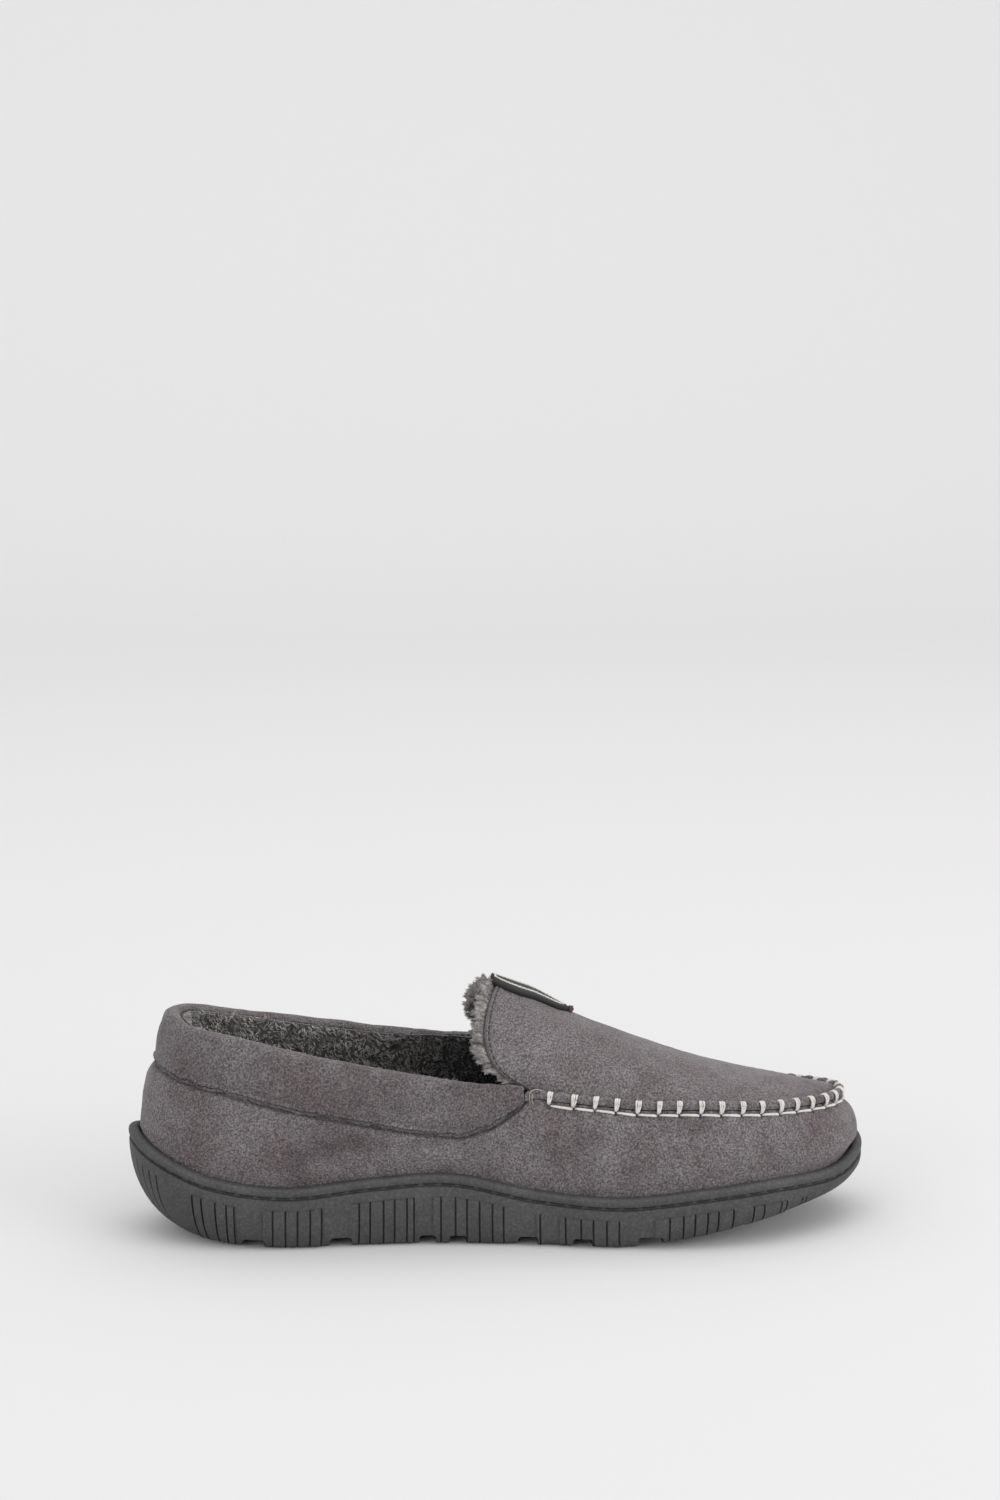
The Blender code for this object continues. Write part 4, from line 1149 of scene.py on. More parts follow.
def wall_relief(u, s, p):
    """How far the suede of the side wall stands off its plain shape."""
    run = ridge_run(u)
    away = np.abs(signed(u))
    near_top = blend(0.62, 1.0, s)
    pucker = -0.75 * pinch(u) * near_top + 0.25 * near_top * (1 - pinch(u)) * (away > 6)
    drawn = np.cos(2 * np.pi * whip_count(run)) * 0.22 * blend(0.3, 0.75, s) * (1 - near_top)
    drawn = drawn * (away > 6.05)
    slack = slack_noise(p, ((0.45, 26, 3), (0.22, 9, 4), (0.10, 3.4, 5)))
    fold = sum(creases(p, *group) for group in WALL_CREASES)
    for a, b, wide, deep in WALL_FOLDS:
        fold = fold + crease_line(p, np.array(a, float), np.array(b, float), wide, deep)
    for x, y, z, reach, deep in WALL_HOLLOWS:
        part = (p - np.array((x, y, z), float)) / np.array((reach, reach, reach * 0.62))
        fold = fold - deep * np.exp(-np.sum(part ** 2, -1))
    heel = blend(-112, -136, p[..., 0]) * blend(0.0, 0.55, s) * (1 - blend(0.80, 1.0, s))
    toe = blend(124, 146, p[..., 0]) * blend(0.0, 0.2, s) * (1 - blend(0.4, 0.95, s))
    fold = fold + HEEL_BULGE * heel + TOE_BULGE * toe
    count = np.round(whip_count(run + HOLE_BACK))
    nearest = np.interp(count, np.arange(WHIPS), WHIP_AT) - HOLE_BACK
    down = (1 - s) * wall_height(u)
    pits = -1.5 * np.exp(-((run - nearest) / 0.75) ** 2 - ((down - HOLE_DOWN) / 0.8) ** 2)
    return (slack + fold) * blend(0.0, 0.12, s) + pucker + drawn + pits


def make_side_wall():
    """Lower part of the upper: outer face, the lap under the collar, and its inner face."""
    u = np.linspace(0, TURN, WALL_COLUMNS, endpoint=False)
    share = 1 - (1 - np.linspace(0, 1, WALL_ROWS)) ** 1.35
    uu = np.broadcast_to(u[:, None], (WALL_COLUMNS, WALL_ROWS))
    ss = np.broadcast_to(share, uu.shape)
    turn_in = blend(1.6, 0.0, (1 - ss) * wall_height(u)[:, None])
    collar = (np.abs(signed(u)) < COLLAR_END + 0.05)[:, None]
    tucked = np.where(collar, -(SUEDE + GAP) * turn_in, -0.15 * turn_in)
    under = np.where(collar, 1 - 0.7 * turn_in, 1.0)
    outer = skin(uu, ss, tucked + wall_relief(uu, ss, skin(uu, ss)) * under)
    foot_height = midsole_top(station(u)[:, 0]) + GAP
    foot = cup(u, foot_height, CUP_ROOM)
    inner_foot = cup(u, foot_height, CUP_ROOM + SUEDE)
    lap = np.minimum(5.0, 0.28 * collar_height(u)) / np.maximum(collar_height(u), 0.5)
    lap_row = skin(u, 1 + lap, -SUEDE - GAP + pillow(1 + lap) - 0.15)
    closing = np.where(collar, lap_row, outer[:, -1] + np.array([0, 0, 0.02]))
    inner_s = np.array([1.0, 0.85, 0.6, 0.4, 0.2, 0.0])
    inner = skin(u[:, None], inner_s[None], np.full((len(u), len(inner_s)), -SUEDE))
    inner_top = np.where(collar, lap_row - SUEDE * 0.9 * wall_normal(u, 1.0), inner[:, 0])
    inner[:, 0] = np.where(collar, skin(u, 1.0, 0 * u - SUEDE - GAP - SUEDE), inner[:, 0])
    loops = [foot[:, None], outer, closing[:, None], inner_top[:, None], inner, inner_foot[:, None]]
    grid = np.concatenate(loops, 1)
    points = grid.reshape(-1, 3)
    shape = points, outward(points, [quads(*grid.shape[:2], True, True)])
    obj = add_piece("side_wall_suede", shape, SUEDE_WALL, ("side_wall",))
    # the nap's own tone with painted crease shade, kept as a colour attribute
    shade = nap_and_crease_shade(points)
    nap_and_shade = obj.data.color_attributes.new("nap_and_shade", "FLOAT_COLOR", "POINT")
    tinted = np.stack([shade ** 0.92, shade, shade ** 0.98, np.ones_like(shade)], -1)
    nap_and_shade.data.foreach_set("color", tinted.astype(np.float32).ravel())


def collar_section(u, outer=18, over_top=10, inner=8):
    """Closed outline of the padded collar at each u: outside, over the top, inside, and back.

    Also the number of points in each of these four parts."""
    height = collar_height(u)[:, None]
    radius = roll(u)[:, None]
    start = 1 + 0.25 / height
    turn = 2 - radius / height
    end = 2 - (radius + np.minimum(FACING, 0.1 * height)) / height

    def rows(s, offset):
        return skin(np.broadcast_to(u[:, None], s.shape), s, offset)

    s_out = start + (turn - start) * np.linspace(0, 1, outer)[None, :-1] ** 1.6
    edge_in = 0.9 * np.exp(-(s_out - start) * height / 0.9)
    outside = rows(s_out, pillow(s_out) - edge_in)
    top_t = seam_t(u)[:, None] + (1 - seam_t(u)[:, None]) * (turn - 1)
    normal, up = wall_normal(u[:, None], top_t), wall_up(u[:, None], top_t)
    centre = wall(u[:, None], top_t) - radius[..., None] * normal
    angles = np.radians(np.linspace(0, 180, over_top))[None]
    reach = radius + pillow(turn) * np.maximum(np.cos(angles), 0)
    over = centre + (reach * np.cos(angles))[..., None] * normal + (radius * np.sin(angles))[..., None] * up
    s_in = turn + (end - turn) * np.linspace(0, 1, inner)[None, 1:]
    inside = rows(s_in, -2 * radius)
    thick = np.where(radius > 2.2, SUEDE, 0.55 * radius)
    s_back = np.concatenate([end, end * 0.5 + (start + 1.2 / height) * 0.5, start + 1.0 / height], 1)
    back = rows(s_back, np.concatenate([-2 * radius + thick, -radius, -thick], 1))
    return np.concatenate([outside, over, inside, back], 1), (outer - 1, over_top, inner - 1, 3)


def simulate_collar(grid, parts):
    """Cloth with a little slack, blown up from inside and held at its seams and ends."""
    cols, rows = grid.shape[:2]
    points = grid.reshape(-1, 3)
    cloth = add_mesh("collar_cloth", points, outward(points, bar_faces(cols, rows)))
    index = np.arange(cols * rows).reshape(cols, rows)
    seams = index[:, [0, sum(parts[:3]) - 1, -1, -2, -3]]
    held = set(seams.ravel()) | set(index[:3].ravel()) | set(index[-3:].ravel())
    group = cloth.vertex_groups.new(name="held")
    group.add([int(i) for i in held], 1.0, "REPLACE")
    change = cloth.modifiers.new("cloth", "CLOTH")
    for name, value in (
        ("quality", 6), ("mass", 0.3), ("tension_stiffness", 12), ("compression_stiffness", 12),
        ("bending_stiffness", 0.6), ("use_pressure", True), ("uniform_pressure_force", 4.0),
        ("shrink_min", -0.045), ("vertex_group_mass", "held"),
    ):
        setattr(change.settings, name, value)
    change.settings.effector_weights.gravity = 0.0
    change.point_cache.frame_start = 1
    change.point_cache.frame_end = CLOTH_FRAMES
    scene = bpy.context.scene
    for number in range(1, CLOTH_FRAMES + 1):
        scene.frame_set(number)
    result = cloth.evaluated_get(bpy.context.evaluated_depsgraph_get())
    mesh = result.to_mesh()
    moved = np.empty(len(mesh.vertices) * 3, np.float32)
    mesh.vertices.foreach_get("co", moved)
    result.to_mesh_clear()
    scene.frame_set(1)
    bpy.data.objects.remove(cloth, do_unlink=True)
    shift = moved.reshape(cols, rows, 3).astype(float) / MM - grid
    far = np.linalg.norm(shift, axis=-1, keepdims=True)
    return grid + shift * np.minimum(CLOTH_SHARE, CLOTH_CAP / np.maximum(far, 1e-9))


def upsample(grid, times, axis, wrap=False):
    """Smooth extra points between those of a grid, along one axis."""
    grid = np.moveaxis(grid, axis, 0)
    count = len(grid)
    total = count * times if wrap else (count - 1) * times + 1
    x = np.arange(total) / times
    i = np.minimum(np.floor(x).astype(int), count - 1 if wrap else count - 2)
    t = (x - i).reshape((-1,) + (1,) * (grid.ndim - 1))

    def at(k):
        return grid[(i + k) % count] if wrap else grid[np.clip(i + k, 0, count - 1)]

    return np.moveaxis(cubic(at(-1), at(0), at(1), at(2), t), 0, axis)


def collar_normal(fine, uf):
    """Direction out of the collar at each point of its finer grid."""
    around = np.roll(fine, -1, 1) - np.roll(fine, 1, 1)
    normal = unit(np.cross(np.gradient(fine, axis=0), around))
    middle = len(fine) // 2
    return normal * np.sign(np.sum(normal[middle, 5] * wall_normal(uf[middle], 0.8)))


def stitch_rise(uf, rise):
    """Height of a row of stitches over the collar's edge, lower where the collar narrows."""
    return np.minimum(rise, 0.22 * collar_height(uf))


def make_collar():
    """Padded collar; returns its finer grid, the station of each column and its parts."""
    u = np.linspace(-COLLAR_END, COLLAR_END, COLLAR_STEPS)
    grid, parts = collar_section(u)
    grid = simulate_collar(grid, parts)
    fine = upsample(upsample(grid, 4, 0), 3, 1, True)
    cols, rows = fine.shape[:2]
    uf = np.linspace(-COLLAR_END, COLLAR_END, cols)
    place = np.arange(rows)[None] / 3.0
    run = run_along(fine[:, 0])[:, None]
    rise = np.cumsum(np.linalg.norm(np.diff(fine, axis=1, prepend=fine[:, :1]), axis=2), 1)
    rise = np.where(place < parts[0], rise, 99.0)
    row_at = stitch_rise(uf, STITCH_RISE)[:, None]
    below = 0.45 * np.exp(-((rise - 0.68 * row_at) / 0.5) ** 2)
    above = 0.30 * np.exp(-((rise - 1.35 * row_at) / 0.7) ** 2)
    sunk = 0.42 + 0.20 * np.cos(2 * np.pi * run / STITCH_PITCH)
    sewn = below + above - sunk * np.exp(-((rise - row_at) / 0.40) ** 2)
    along = np.stack(np.broadcast_arrays(run, 0 * run, 0 * run), -1)
    ripple = 0.13 * np.exp(-(rise / 4.0) ** 2) * value_noise(along, 3.1, 15)
    lumps = slack_noise(fine, ((0.5, 21, 11), (0.24, 7.5, 12), (0.09, 3, 13)))
    taper = np.clip(roll(uf)[:, None] / ROLL, 0.3, 1)
    relief = ((lumps + ripple) * taper + sewn) * (place < sum(parts[:3]))
    fine = fine + collar_normal(fine, uf) * relief[..., None]
    obj = add_bar("collar_padded", fine, SUEDE_COLLAR, ("collar_band", "collar_foam"))
    return fine, uf, parts


def sewn_line(name, us, path, normal, node_name, *stitch):
    """Dashes along a line of points, laid on the surface whose normals are given."""

    def at(u, lift):
        return on_line(u, us, path) + on_line(u, us, normal) * np.asarray(lift, float)[..., None]

    def normal_at(u):
        return unit(on_line(u, us, normal))

    shape = dashes(us, at, normal_at, *stitch)
    add_piece(name, shape, BLACK_THREAD, (node_name,))


def make_collar_stitches(fine, uf):
    """Rows of short dark dashes above the collar's lower edge, laid on the finished collar."""
    cols, span = len(fine), 40
    steps = np.linalg.norm(np.diff(fine[:, :span], axis=1), axis=2)
    run_up = np.concatenate([np.zeros((cols, 1)), np.cumsum(steps, 1)], 1)
    normal = collar_normal(fine, uf)
    column = np.arange(cols)
    for name, rise, pitch, share, radius, node_name in (
        ("collar_stitches", STITCH_RISE, STITCH_PITCH, 0.72, 0.36, "collar_topstitch_upper"),
        ("collar_fold_line", FOLD_RISE, 3.0, 0.97, 0.32, "collar_topstitch_lower"),
    ):
        rises = stitch_rise(uf, rise)
        place = np.array([np.interp(r, up, np.arange(span)) for r, up in zip(rises, run_up)])
        low = np.floor(place).astype(int)
        part = (place - low)[:, None]
        path = fine[column, low] * (1 - part) + fine[column, low + 1] * part
        sewn_line(name, uf, path, normal[column, low], node_name, pitch, share, radius, 0.16)


def make_lining_seam(fine, uf, parts):
    """Dark sewn line where the collar's facing meets the fleece inside."""
    outer, over_top, inner, _ = parts
    keep = np.abs(uf) < 5.5
    us = uf[keep]
    over = fine[keep][:, (outer + over_top // 2) * 3 - 9:(outer + over_top + inner - 1) * 3]
    drop = over[..., 2].max(1)[:, None] - over[..., 2]
    past = np.arange(over.shape[1])[None] > over[..., 2].argmax(1)[:, None]
    target = (np.minimum(FACING_SHOWN, 0.75 * roll(us)) - 0.35)[:, None]
    pick = np.argmin(np.where(past, np.abs(drop - target), 99), axis=1)
    normal = -wall_normal(us, 0.95)
    path = over[np.arange(len(us)), pick] + 0.1 * normal
    sewn_line("lining_seam", us, path, normal, "lining_seam_thread", 2.6, 0.8, 0.32, 0.08, 5, 0.8, 7, 0.4)


# ---------------------------------------------------------------- plug, tongue, ridge, stitching

def edge_row(v, distance):
    """Row of the plug this far from the tongue's edge."""
    return np.minimum(distance / tongue_length(v), 0.3)


def hem_distance(row, v):
    """How far a point of the plug lies from the suede's trimmed edge at the tongue."""
    return tongue_length(v) * np.minimum(row, 1) - TONGUE_TRIM


def plug_relief(row, v, p):
    """How far the plug's suede stands off its plain shape."""
    u = RIDGE_START + (PLUG_END - RIDGE_START) * np.clip(row - 1, 0, 1)
    pull = pinch(np.where(v < 0, u, TURN - u))
    puckers = blend(0.78, 1.0, np.abs(v)) * (row > 1) * 0.45 * (1 - 2 * pull)
    slack = slack_noise(p, ((0.5, 24, 21), (0.22, 8, 22), (0.09, 3.2, 23)))
    rear = hem_distance(row, v)
    hem = sum(
        height * np.exp(-((rear - place) / width) ** 2)
        for height, place, width in ((0.40, 0.5, 0.6), (-0.40, EDGE_THREAD_IN, 0.45), (0.30, 2.3, 0.7))
    )
    return puckers + slack * (1 - 0.6 * np.exp(-rear / 1.5)) + hem * (row < 1)


def make_plug():
    """Suede of the tongue and the plug, with a rolled edge behind the tongue."""
    v = np.linspace(-1, 1, PLUG_COLUMNS)
    rows = np.concatenate([
        (0, 0.002, 0.006, 0.012), np.linspace(0.02, 0.22, 30), np.linspace(0.25, 1, 34)[:-1],
        1 + np.linspace(0, 1, PLUG_ROWS),
    ])
    rr, vv = np.meshgrid(rows, v, indexing="ij")
    tongue = rr < 1
    trim = edge_row(vv, TONGUE_TRIM)
    rr = np.where(tongue, trim + (1 - trim) * rr, rr)
    p, n = plug(rr, vv), plug_normal(rr, vv)
    rear = hem_distance(rr, vv)
    tongue = rr < 1
    thickness = SUEDE + 0.9 * np.exp(-(rear / 3.0) ** 4) * tongue
    rounding = np.sqrt(np.clip(1 - (1 - np.clip(rear / 1.1, 0, 1)) ** 2, 0, 1))
    short = np.where(tongue, 1 - rounding, 0.0) * thickness
    off = plug_relief(rr, vv, p) - 0.5 * short
    top = p + n * off[..., None]
    low = p + n * (-thickness + 0.45 * short + 0.25 * off)[..., None]
    add_piece("plug_suede", sheet(top, low), SUEDE_PLUG, ("plug",))


def make_tongue_stitches():
    """Row of dashes along the tongue's edge."""

    def row(v):
        return edge_row(v, TONGUE_TRIM + EDGE_THREAD_IN)

    def normal_at(v):
        return plug_normal(row(v), v)

    def at(v, lift):
        p = plug(row(v), v)
        off = plug_relief(row(v), v, p) + np.asarray(lift, float) + 0.05
        return p + normal_at(v) * off[..., None]

    stitches = dashes(np.linspace(-0.93, 0.93, 801), at, normal_at, 2.6, 0.74, 0.32, 0.1)
    add_piece("tongue_stitches", stitches, BLACK_THREAD, ("plug_edge_thread",))


def make_ridge():
    """Raised seam: two folded edges, drawn in under every whip stitch."""
    last = RIDGE_RUN[-1] + RIDGE_BACK
    u = u_at_run(np.linspace(-RIDGE_BACK, last, RIDGE_STEPS))
    pull, run = pinch(u), ridge_run(u)
    turn = np.linspace(0, 2 * np.pi, RIDGE_SIDES, endpoint=False)
    ends = blend(-RIDGE_BACK - 1, 1 - RIDGE_BACK, run) * (1 - blend(last - 1, last + 1, run))
    half = (RIDGE_HALF_WIDTH + 0.25 * (1 - pull) - 0.20 * pull) * (0.55 + 0.45 * ends)
    tall = (RIDGE_HEIGHT + 0.35 * (1 - pull) - 0.45 * pull) * (0.5 + 0.5 * ends)
    c, s = np.cos(turn), np.sin(turn)
    across = half[:, None] * np.sign(c) * np.abs(c) ** 0.75
    lift = tall[:, None] * (0.5 + 0.5 * np.sign(s) * np.abs(s) ** 0.8)
    notch = -0.35 * np.exp(-(across / 0.42) ** 2) * (s > 0.3)
    p = ridge_point(u[:, None], across, lift + notch)
    wobble = slack_noise(p, ((0.16, 5, 31), (0.10, 2.2, 32)))
    p = p + wobble[..., None] * plan_normal(u)[:, None]
    add_bar("ridge_suede", p, SUEDE_PLUG, ("seam_ridge",))


def eased(values, times):
    """Values with their corners rounded off, ends kept."""
    values = np.array(values, float)
    for _ in range(times):
        values[1:-1] = (values[:-2] + 2 * values[1:-1] + values[2:]) / 4
    return values


WHIP_STEPS = 17
WHIP_REACH = RIDGE_HALF_WIDTH + 0.45
WHIP_OVER = RIDGE_HEIGHT + 0.2


def whip_path(run, shift, rng):
    """One strand of a whip stitch: hole on the wall side, up and over, hole on the plug side."""
    t = np.linspace(0, 1, WHIP_STEPS)
    way = np.array((
        (0, WHIP_REACH - 1.2, -1.5), (0.10, WHIP_REACH + 0.35, -0.9),
        (0.45, WHIP_REACH + 0.30, WHIP_OVER * 0.66), (0.64, WHIP_REACH * 0.35, WHIP_OVER),
        (0.80, -WHIP_REACH * 0.6, WHIP_OVER * 0.86), (1, -WHIP_REACH - 0.2, 0.1),
    ))
    out, up = (eased(np.interp(t, way[:, 0], way[:, k]), 2) for k in (1, 2))
    fan = np.interp(t, (0, 0.12, 0.45, 0.85, 1), (0.10, 0.42, 1.0, 0.85, 0.3))
    lean = np.interp(t, (0, 0.35, 0.7, 1), (-HOLE_BACK, -0.15, 0.1, 0.5))
    u = np.interp(run + shift * fan + lean + rng.normal(0, 0.04), RIDGE_RUN, RIDGE_US)
    return ridge_point(u, out + rng.normal(0, 0.04), up + rng.normal(0, 0.04))


def make_whips():
    """White cord: three strands over the ridge at every stitch, and a link along its foot."""
    rng = np.random.default_rng(SEED)
    paths, radii = [], []
    t = np.linspace(0, 1, WHIP_STEPS)
    for run in WHIP_AT:
        run = run + rng.normal(0, 0.18)
        wide = rng.uniform(0.9, 1.08)
        for shift in WHIP_STRANDS:
            paths.append(whip_path(run, shift * wide, rng))
            radii.append((0.42 + rng.normal(0, 0.02)) * (1 - 0.45 * np.exp(-t / 0.08)))
    stitch = tubes(np.array(paths), np.array(radii), 8, flat=0.85)
    w = np.linspace(0, 1, 13)
    links = []
    for start, end in zip(WHIP_AT[:-1] - HOLE_BACK + 0.9, WHIP_AT[1:] - HOLE_BACK - 0.75):
        u = np.interp(start + (end - start) * w, RIDGE_RUN, RIDGE_US)
        t = seam_t(u)
        rise = 0.42 - 0.9 * np.abs(2 * w - 1) ** 8
        down = HOLE_DOWN + 0.15 - 0.25 * (1 - w)
        links.append(wall(u, t) - down[:, None] * wall_up(u, t) + rise[:, None] * wall_normal(u, t))
    link = tubes(np.array(links), 0.52 + 0.16 * w, 8, flat=0.85)
    add_piece("whip_stitches", joined([stitch, link]), WHITE_THREAD, ("whip_thread",))


# A tack's loop: place along the seam, distance out and height
TACK_LOOP = (
    (-4.2, 1.7, -0.6), (-4.5, 1.8, 0.4), (-4.5, 1.75, 1.8), (-4.4, 1.4, 3.2), (-3.6, 0.9, 3.9),
    (-1.9, 0.8, 4.0), (-0.6, 1.2, 3.9),
)


def make_tacks():
    """A loose loop of thin thread that closes the front end of the raised seam on each side."""
    loop = np.array(TACK_LOOP)
    even = on_line(np.linspace(0, 1, 41), np.linspace(0, 1, len(loop)), loop)
    run, out, up = eased(even, 6).T
    for name, sign in (("seam_tack_inner", 1), ("seam_tack_outer", -1)):
        place = u_at_run(run) if sign > 0 else TURN - u_at_run(run)
        second = ridge_point(place + sign * 0.035, out + 0.1, up - 0.9)
        threads = tubes(np.array([ridge_point(place, out, up), second]), 0.10, 8)
        add_piece(name + "_loop", threads, NATURAL_THREAD, (name,))


# ---------------------------------------------------------------- badge

def on_crest(x, y, lift):
    """Point on the plug's crest at x, this far aside and above it."""
    v = y / (TONGUE_RADIUS * math.pi / 2)
    low, high = np.zeros_like(x), np.full_like(x, 1.6)
    for _ in range(24):
        middle = (low + high) / 2
        short = plug(middle, v)[..., 0] < x
        low = np.where(short, middle, low)
        high = np.where(short, high, middle)
    return plug((low + high) / 2, v, lift)


def oval_grid(rows, around=96, long=1.0):
    """Ovals on the crest: each row is a share of the badge's half size and a lift."""
    a = np.linspace(0, 2 * np.pi, around, endpoint=False)
    ovals = []
    for share, lift in rows:
        x = BADGE_X + share * long * BADGE_HALF[0] * np.cos(a)
        y = share * BADGE_HALF[1] * np.sin(a)
        ovals.append(on_crest(x, y, np.full_like(x, lift)))
    return np.array(ovals)


# Section of the badge from its middle: share of its half size, height against its top
BADGE_SECTION = (
    (0.02, -0.15), (0.3, -0.15), (0.58, -0.12), (0.74, -0.05), (0.90, 0.05), (0.955, 0.02),
    (0.985, -0.15), (1.0, -0.4), (1.005, -0.8), (1.0, -1.2), (0.985, -1.75), (0.9, -2.3),
    (0.5, -2.3), (0.02, -2.3),
)


def make_badge():
    """Plain oval patch with a sunk field, a light oval line and a knot of dark thread."""
    top = BADGE_LIFT + BADGE_THICK
    grid = oval_grid([(share, top + rise) for share, rise in BADGE_SECTION])
    obj = add_bar("badge_plain", grid, BADGE_PATCH, ("badge",), 50)
    obj.data.materials.append(BADGE_FIELD)
    field = np.zeros(len(obj.data.polygons), np.int32)
    field[:3 * grid.shape[1]] = 1
    obj.data.polygons.foreach_set("material_index", field)
    around, twists = 220, 55
    line = oval_grid([(0.50, top + 0.05)], around, 1.72)
    twist = np.sin(np.linspace(0, 2 * np.pi * twists, around, endpoint=False))
    cord = tubes(line + np.array([0, 0, 0.12]) * twist[:, None], 0.34, 8, closed=True)
    add_piece("badge_edge_line", cord, WHITE_THREAD, ("badge_border",))
    x = BADGE_X + BADGE_HALF[0] + 0.7
    t = np.linspace(0, 1, 21)
    bow = np.sin(np.pi * t)
    paths = []
    for turn in 1.26 * np.arange(5):
        away = x + 0.75 * math.cos(turn) * bow
        paths.append(on_crest(away, -2.2 + 4.4 * t, 0.3 + (1.5 + 0.75 * math.sin(turn)) * bow))
    knot = tubes(np.array(paths), 0.55, 7)
    add_piece("badge_knot", knot, MAROON_THREAD, ("badge_tack",))


# ---------------------------------------------------------------- fleece and fur

def wool(grid, count, rng, length, curl, radius, steps=9, lay=(0, 0, 0), clump=3.0, turns=1.6, spread=0.75):
    """Curly tufts over a grid: each hair leans with its tuft and coils as it rises."""
    p, n, _, _ = scatter(grid, count, rng)
    tilt = np.stack([value_noise(p, clump, seed) for seed in (41, 42, 43)], -1)
    direction = unit(n + spread * tilt + np.array(lay, float))
    size = length * rng.uniform(0.65, 1.2, count) * (0.85 + 0.4 * value_noise(p, clump, 44))
    side = unit(np.cross(direction, rng.normal(0, 1, (count, 3))))
    other = np.cross(direction, side)
    t = np.linspace(0, 1, steps)[None, :, None]
    phase = 2 * np.pi * turns * t * rng.uniform(0.7, 1.3, (count, 1, 1))
    wide = curl * np.minimum(1, 2.2 * t) * rng.uniform(0.6, 1.2, (count, 1, 1))
    path = p[:, None] - 0.3 * n[:, None] + direction[:, None] * size[:, None, None] * t
    path = path + wide * (side[:, None] * np.sin(phase) + other[:, None] * (1 - np.cos(phase)))
    return strand_tubes(path, radius * (1 - 0.55 * np.linspace(0, 1, steps) ** 2))


def add_curls(name, curls):
    add_piece(name, curls, FLEECE_FIBRE)


def facing(grid):
    """Direction of a grid's face at its middle."""
    i, j = grid.shape[0] // 2, grid.shape[1] // 2
    return unit(np.cross(grid[i + 1, j] - grid[i, j], grid[i, j + 1] - grid[i, j]))


def turned_inward(grid, u, t):
    """The grid with its columns so ordered that it faces into the shoe at u."""
    return grid if np.sum(facing(grid) * -wall_normal(u, t)) > 0 else grid[:, ::-1]


def lining_face(u):
    """Offset of the lining's outer face from the upper's, with room for the heel counter."""
    share = 1 - blend(COUNTER_END, COUNTER_END + 0.5, np.abs(signed(u)))
    return -SUEDE - GAP - COUNTER_ROOM * share


def lining_shell(u, levels, offsets):
    """Outer and inner face of a band of lining, from its foot in the cup up through the levels."""

    def face(inward):
        foot = cup(u, board_top(station(u)[:, 0]) + GAP, CUP_ROOM - lining_face(u) + inward)
        rows = [skin(u, s, offset - inward) for s, offset in zip(levels, offsets)]
        return np.stack([foot] + rows, 1)

    return face(0.0), face(FLEECE_THICK)


def fleece_band(name, outer, inner, node_name):
    """The closed band of backing between the two faces of a lining."""
    grid = np.concatenate([outer, inner[:, ::-1]], 1)
    add_bar(name, grid, FLEECE_BASE, (node_name,))


def lump(grid, amount, seed):
    """Uneven pile: the grid moved along its normals."""
    n = unit(np.cross(np.gradient(grid, axis=0), np.gradient(grid, axis=1)))
    move = slack_noise(grid, ((0.6 * amount, 3.2, seed), (0.4 * amount, 1.7, seed + 1)))
    return grid + n * move[..., None]


def make_quarter_lining():
    """Fleece round the heel and the sides, up to the collar's facing."""
    rng = np.random.default_rng(SEED + 1)
    u = np.linspace(-COLLAR_END, COLLAR_END, 420)
    top = np.maximum(2 - np.minimum(FACING_SHOWN, 0.75 * roll(u)) / collar_height(u), 1.05)
    middle = 1 + (top - 1) * 0.55
    face = lining_face(u)
    behind = -2 * (SUEDE + GAP) - 0.1
    last = np.minimum(-2 * roll(u) - 0.15, -2.6)
    rows = [(0 * u + k, face + (behind - face) * blend(0.8, 1.0, k)) for k in np.linspace(0, 1, 9)]
    rows += [(1 + (middle - 1) * k, behind + (last - behind) * k) for k in np.linspace(0, 1, 5)[1:]]
    rows += [(middle + (top - middle) * k, last) for k in np.linspace(0, 1, 6)[1:]]
    outer, inner = lining_shell(u, *zip(*rows))
    share = np.linspace(0, 1, inner.shape[1])[None, :, None]
    inner = lump(inner + (outer - inner) * 0.55 * blend(0.6, 1.0, share), 0.85, 51)
    fleece_band("quarter_fleece_backing", outer, inner, "quarter_lining")
    visible = turned_inward(inner[:, 2:], u[len(u) // 2], 0.9)
    curls = wool(visible, QUARTER_CURLS, rng, 3.1, 0.32, 0.23, 7, (0.25, 0, -0.1), 4.4, 0.8, 1.15)
    add_curls("quarter_fleece_curls", curls)


def make_vamp_lining():
    """Fleece inside the forefoot."""
    rng = np.random.default_rng(SEED + 2)
    u = np.linspace(RIDGE_START, TURN - RIDGE_START, 460)
    top = 1 - (3.0 + 4.0 * blend(7, 10.5, np.minimum(u, TURN - u))) / wall_height(u)
    outer, inner = lining_shell(u, [top * k for k in np.linspace(0, 1, 10)], [lining_face(u) - 0.1] * 10)
    inner = lump(inner, 0.4, 53)
    fleece_band("vamp_fleece_backing", outer, inner, "vamp_lining")
    rear = np.abs(u - TURN / 2) > 2.6
    for side, keep in (("inner", rear & (u < TURN / 2)), ("outer", rear & (u > TURN / 2))):
        visible = turned_inward(inner[keep][:, 2:], u[keep][len(u[keep]) // 2], 0.5)
        add_curls(f"vamp_fleece_curls_{side}", wool(visible, VAMP_CURLS, rng, 2.2, 0.5, 0.33))


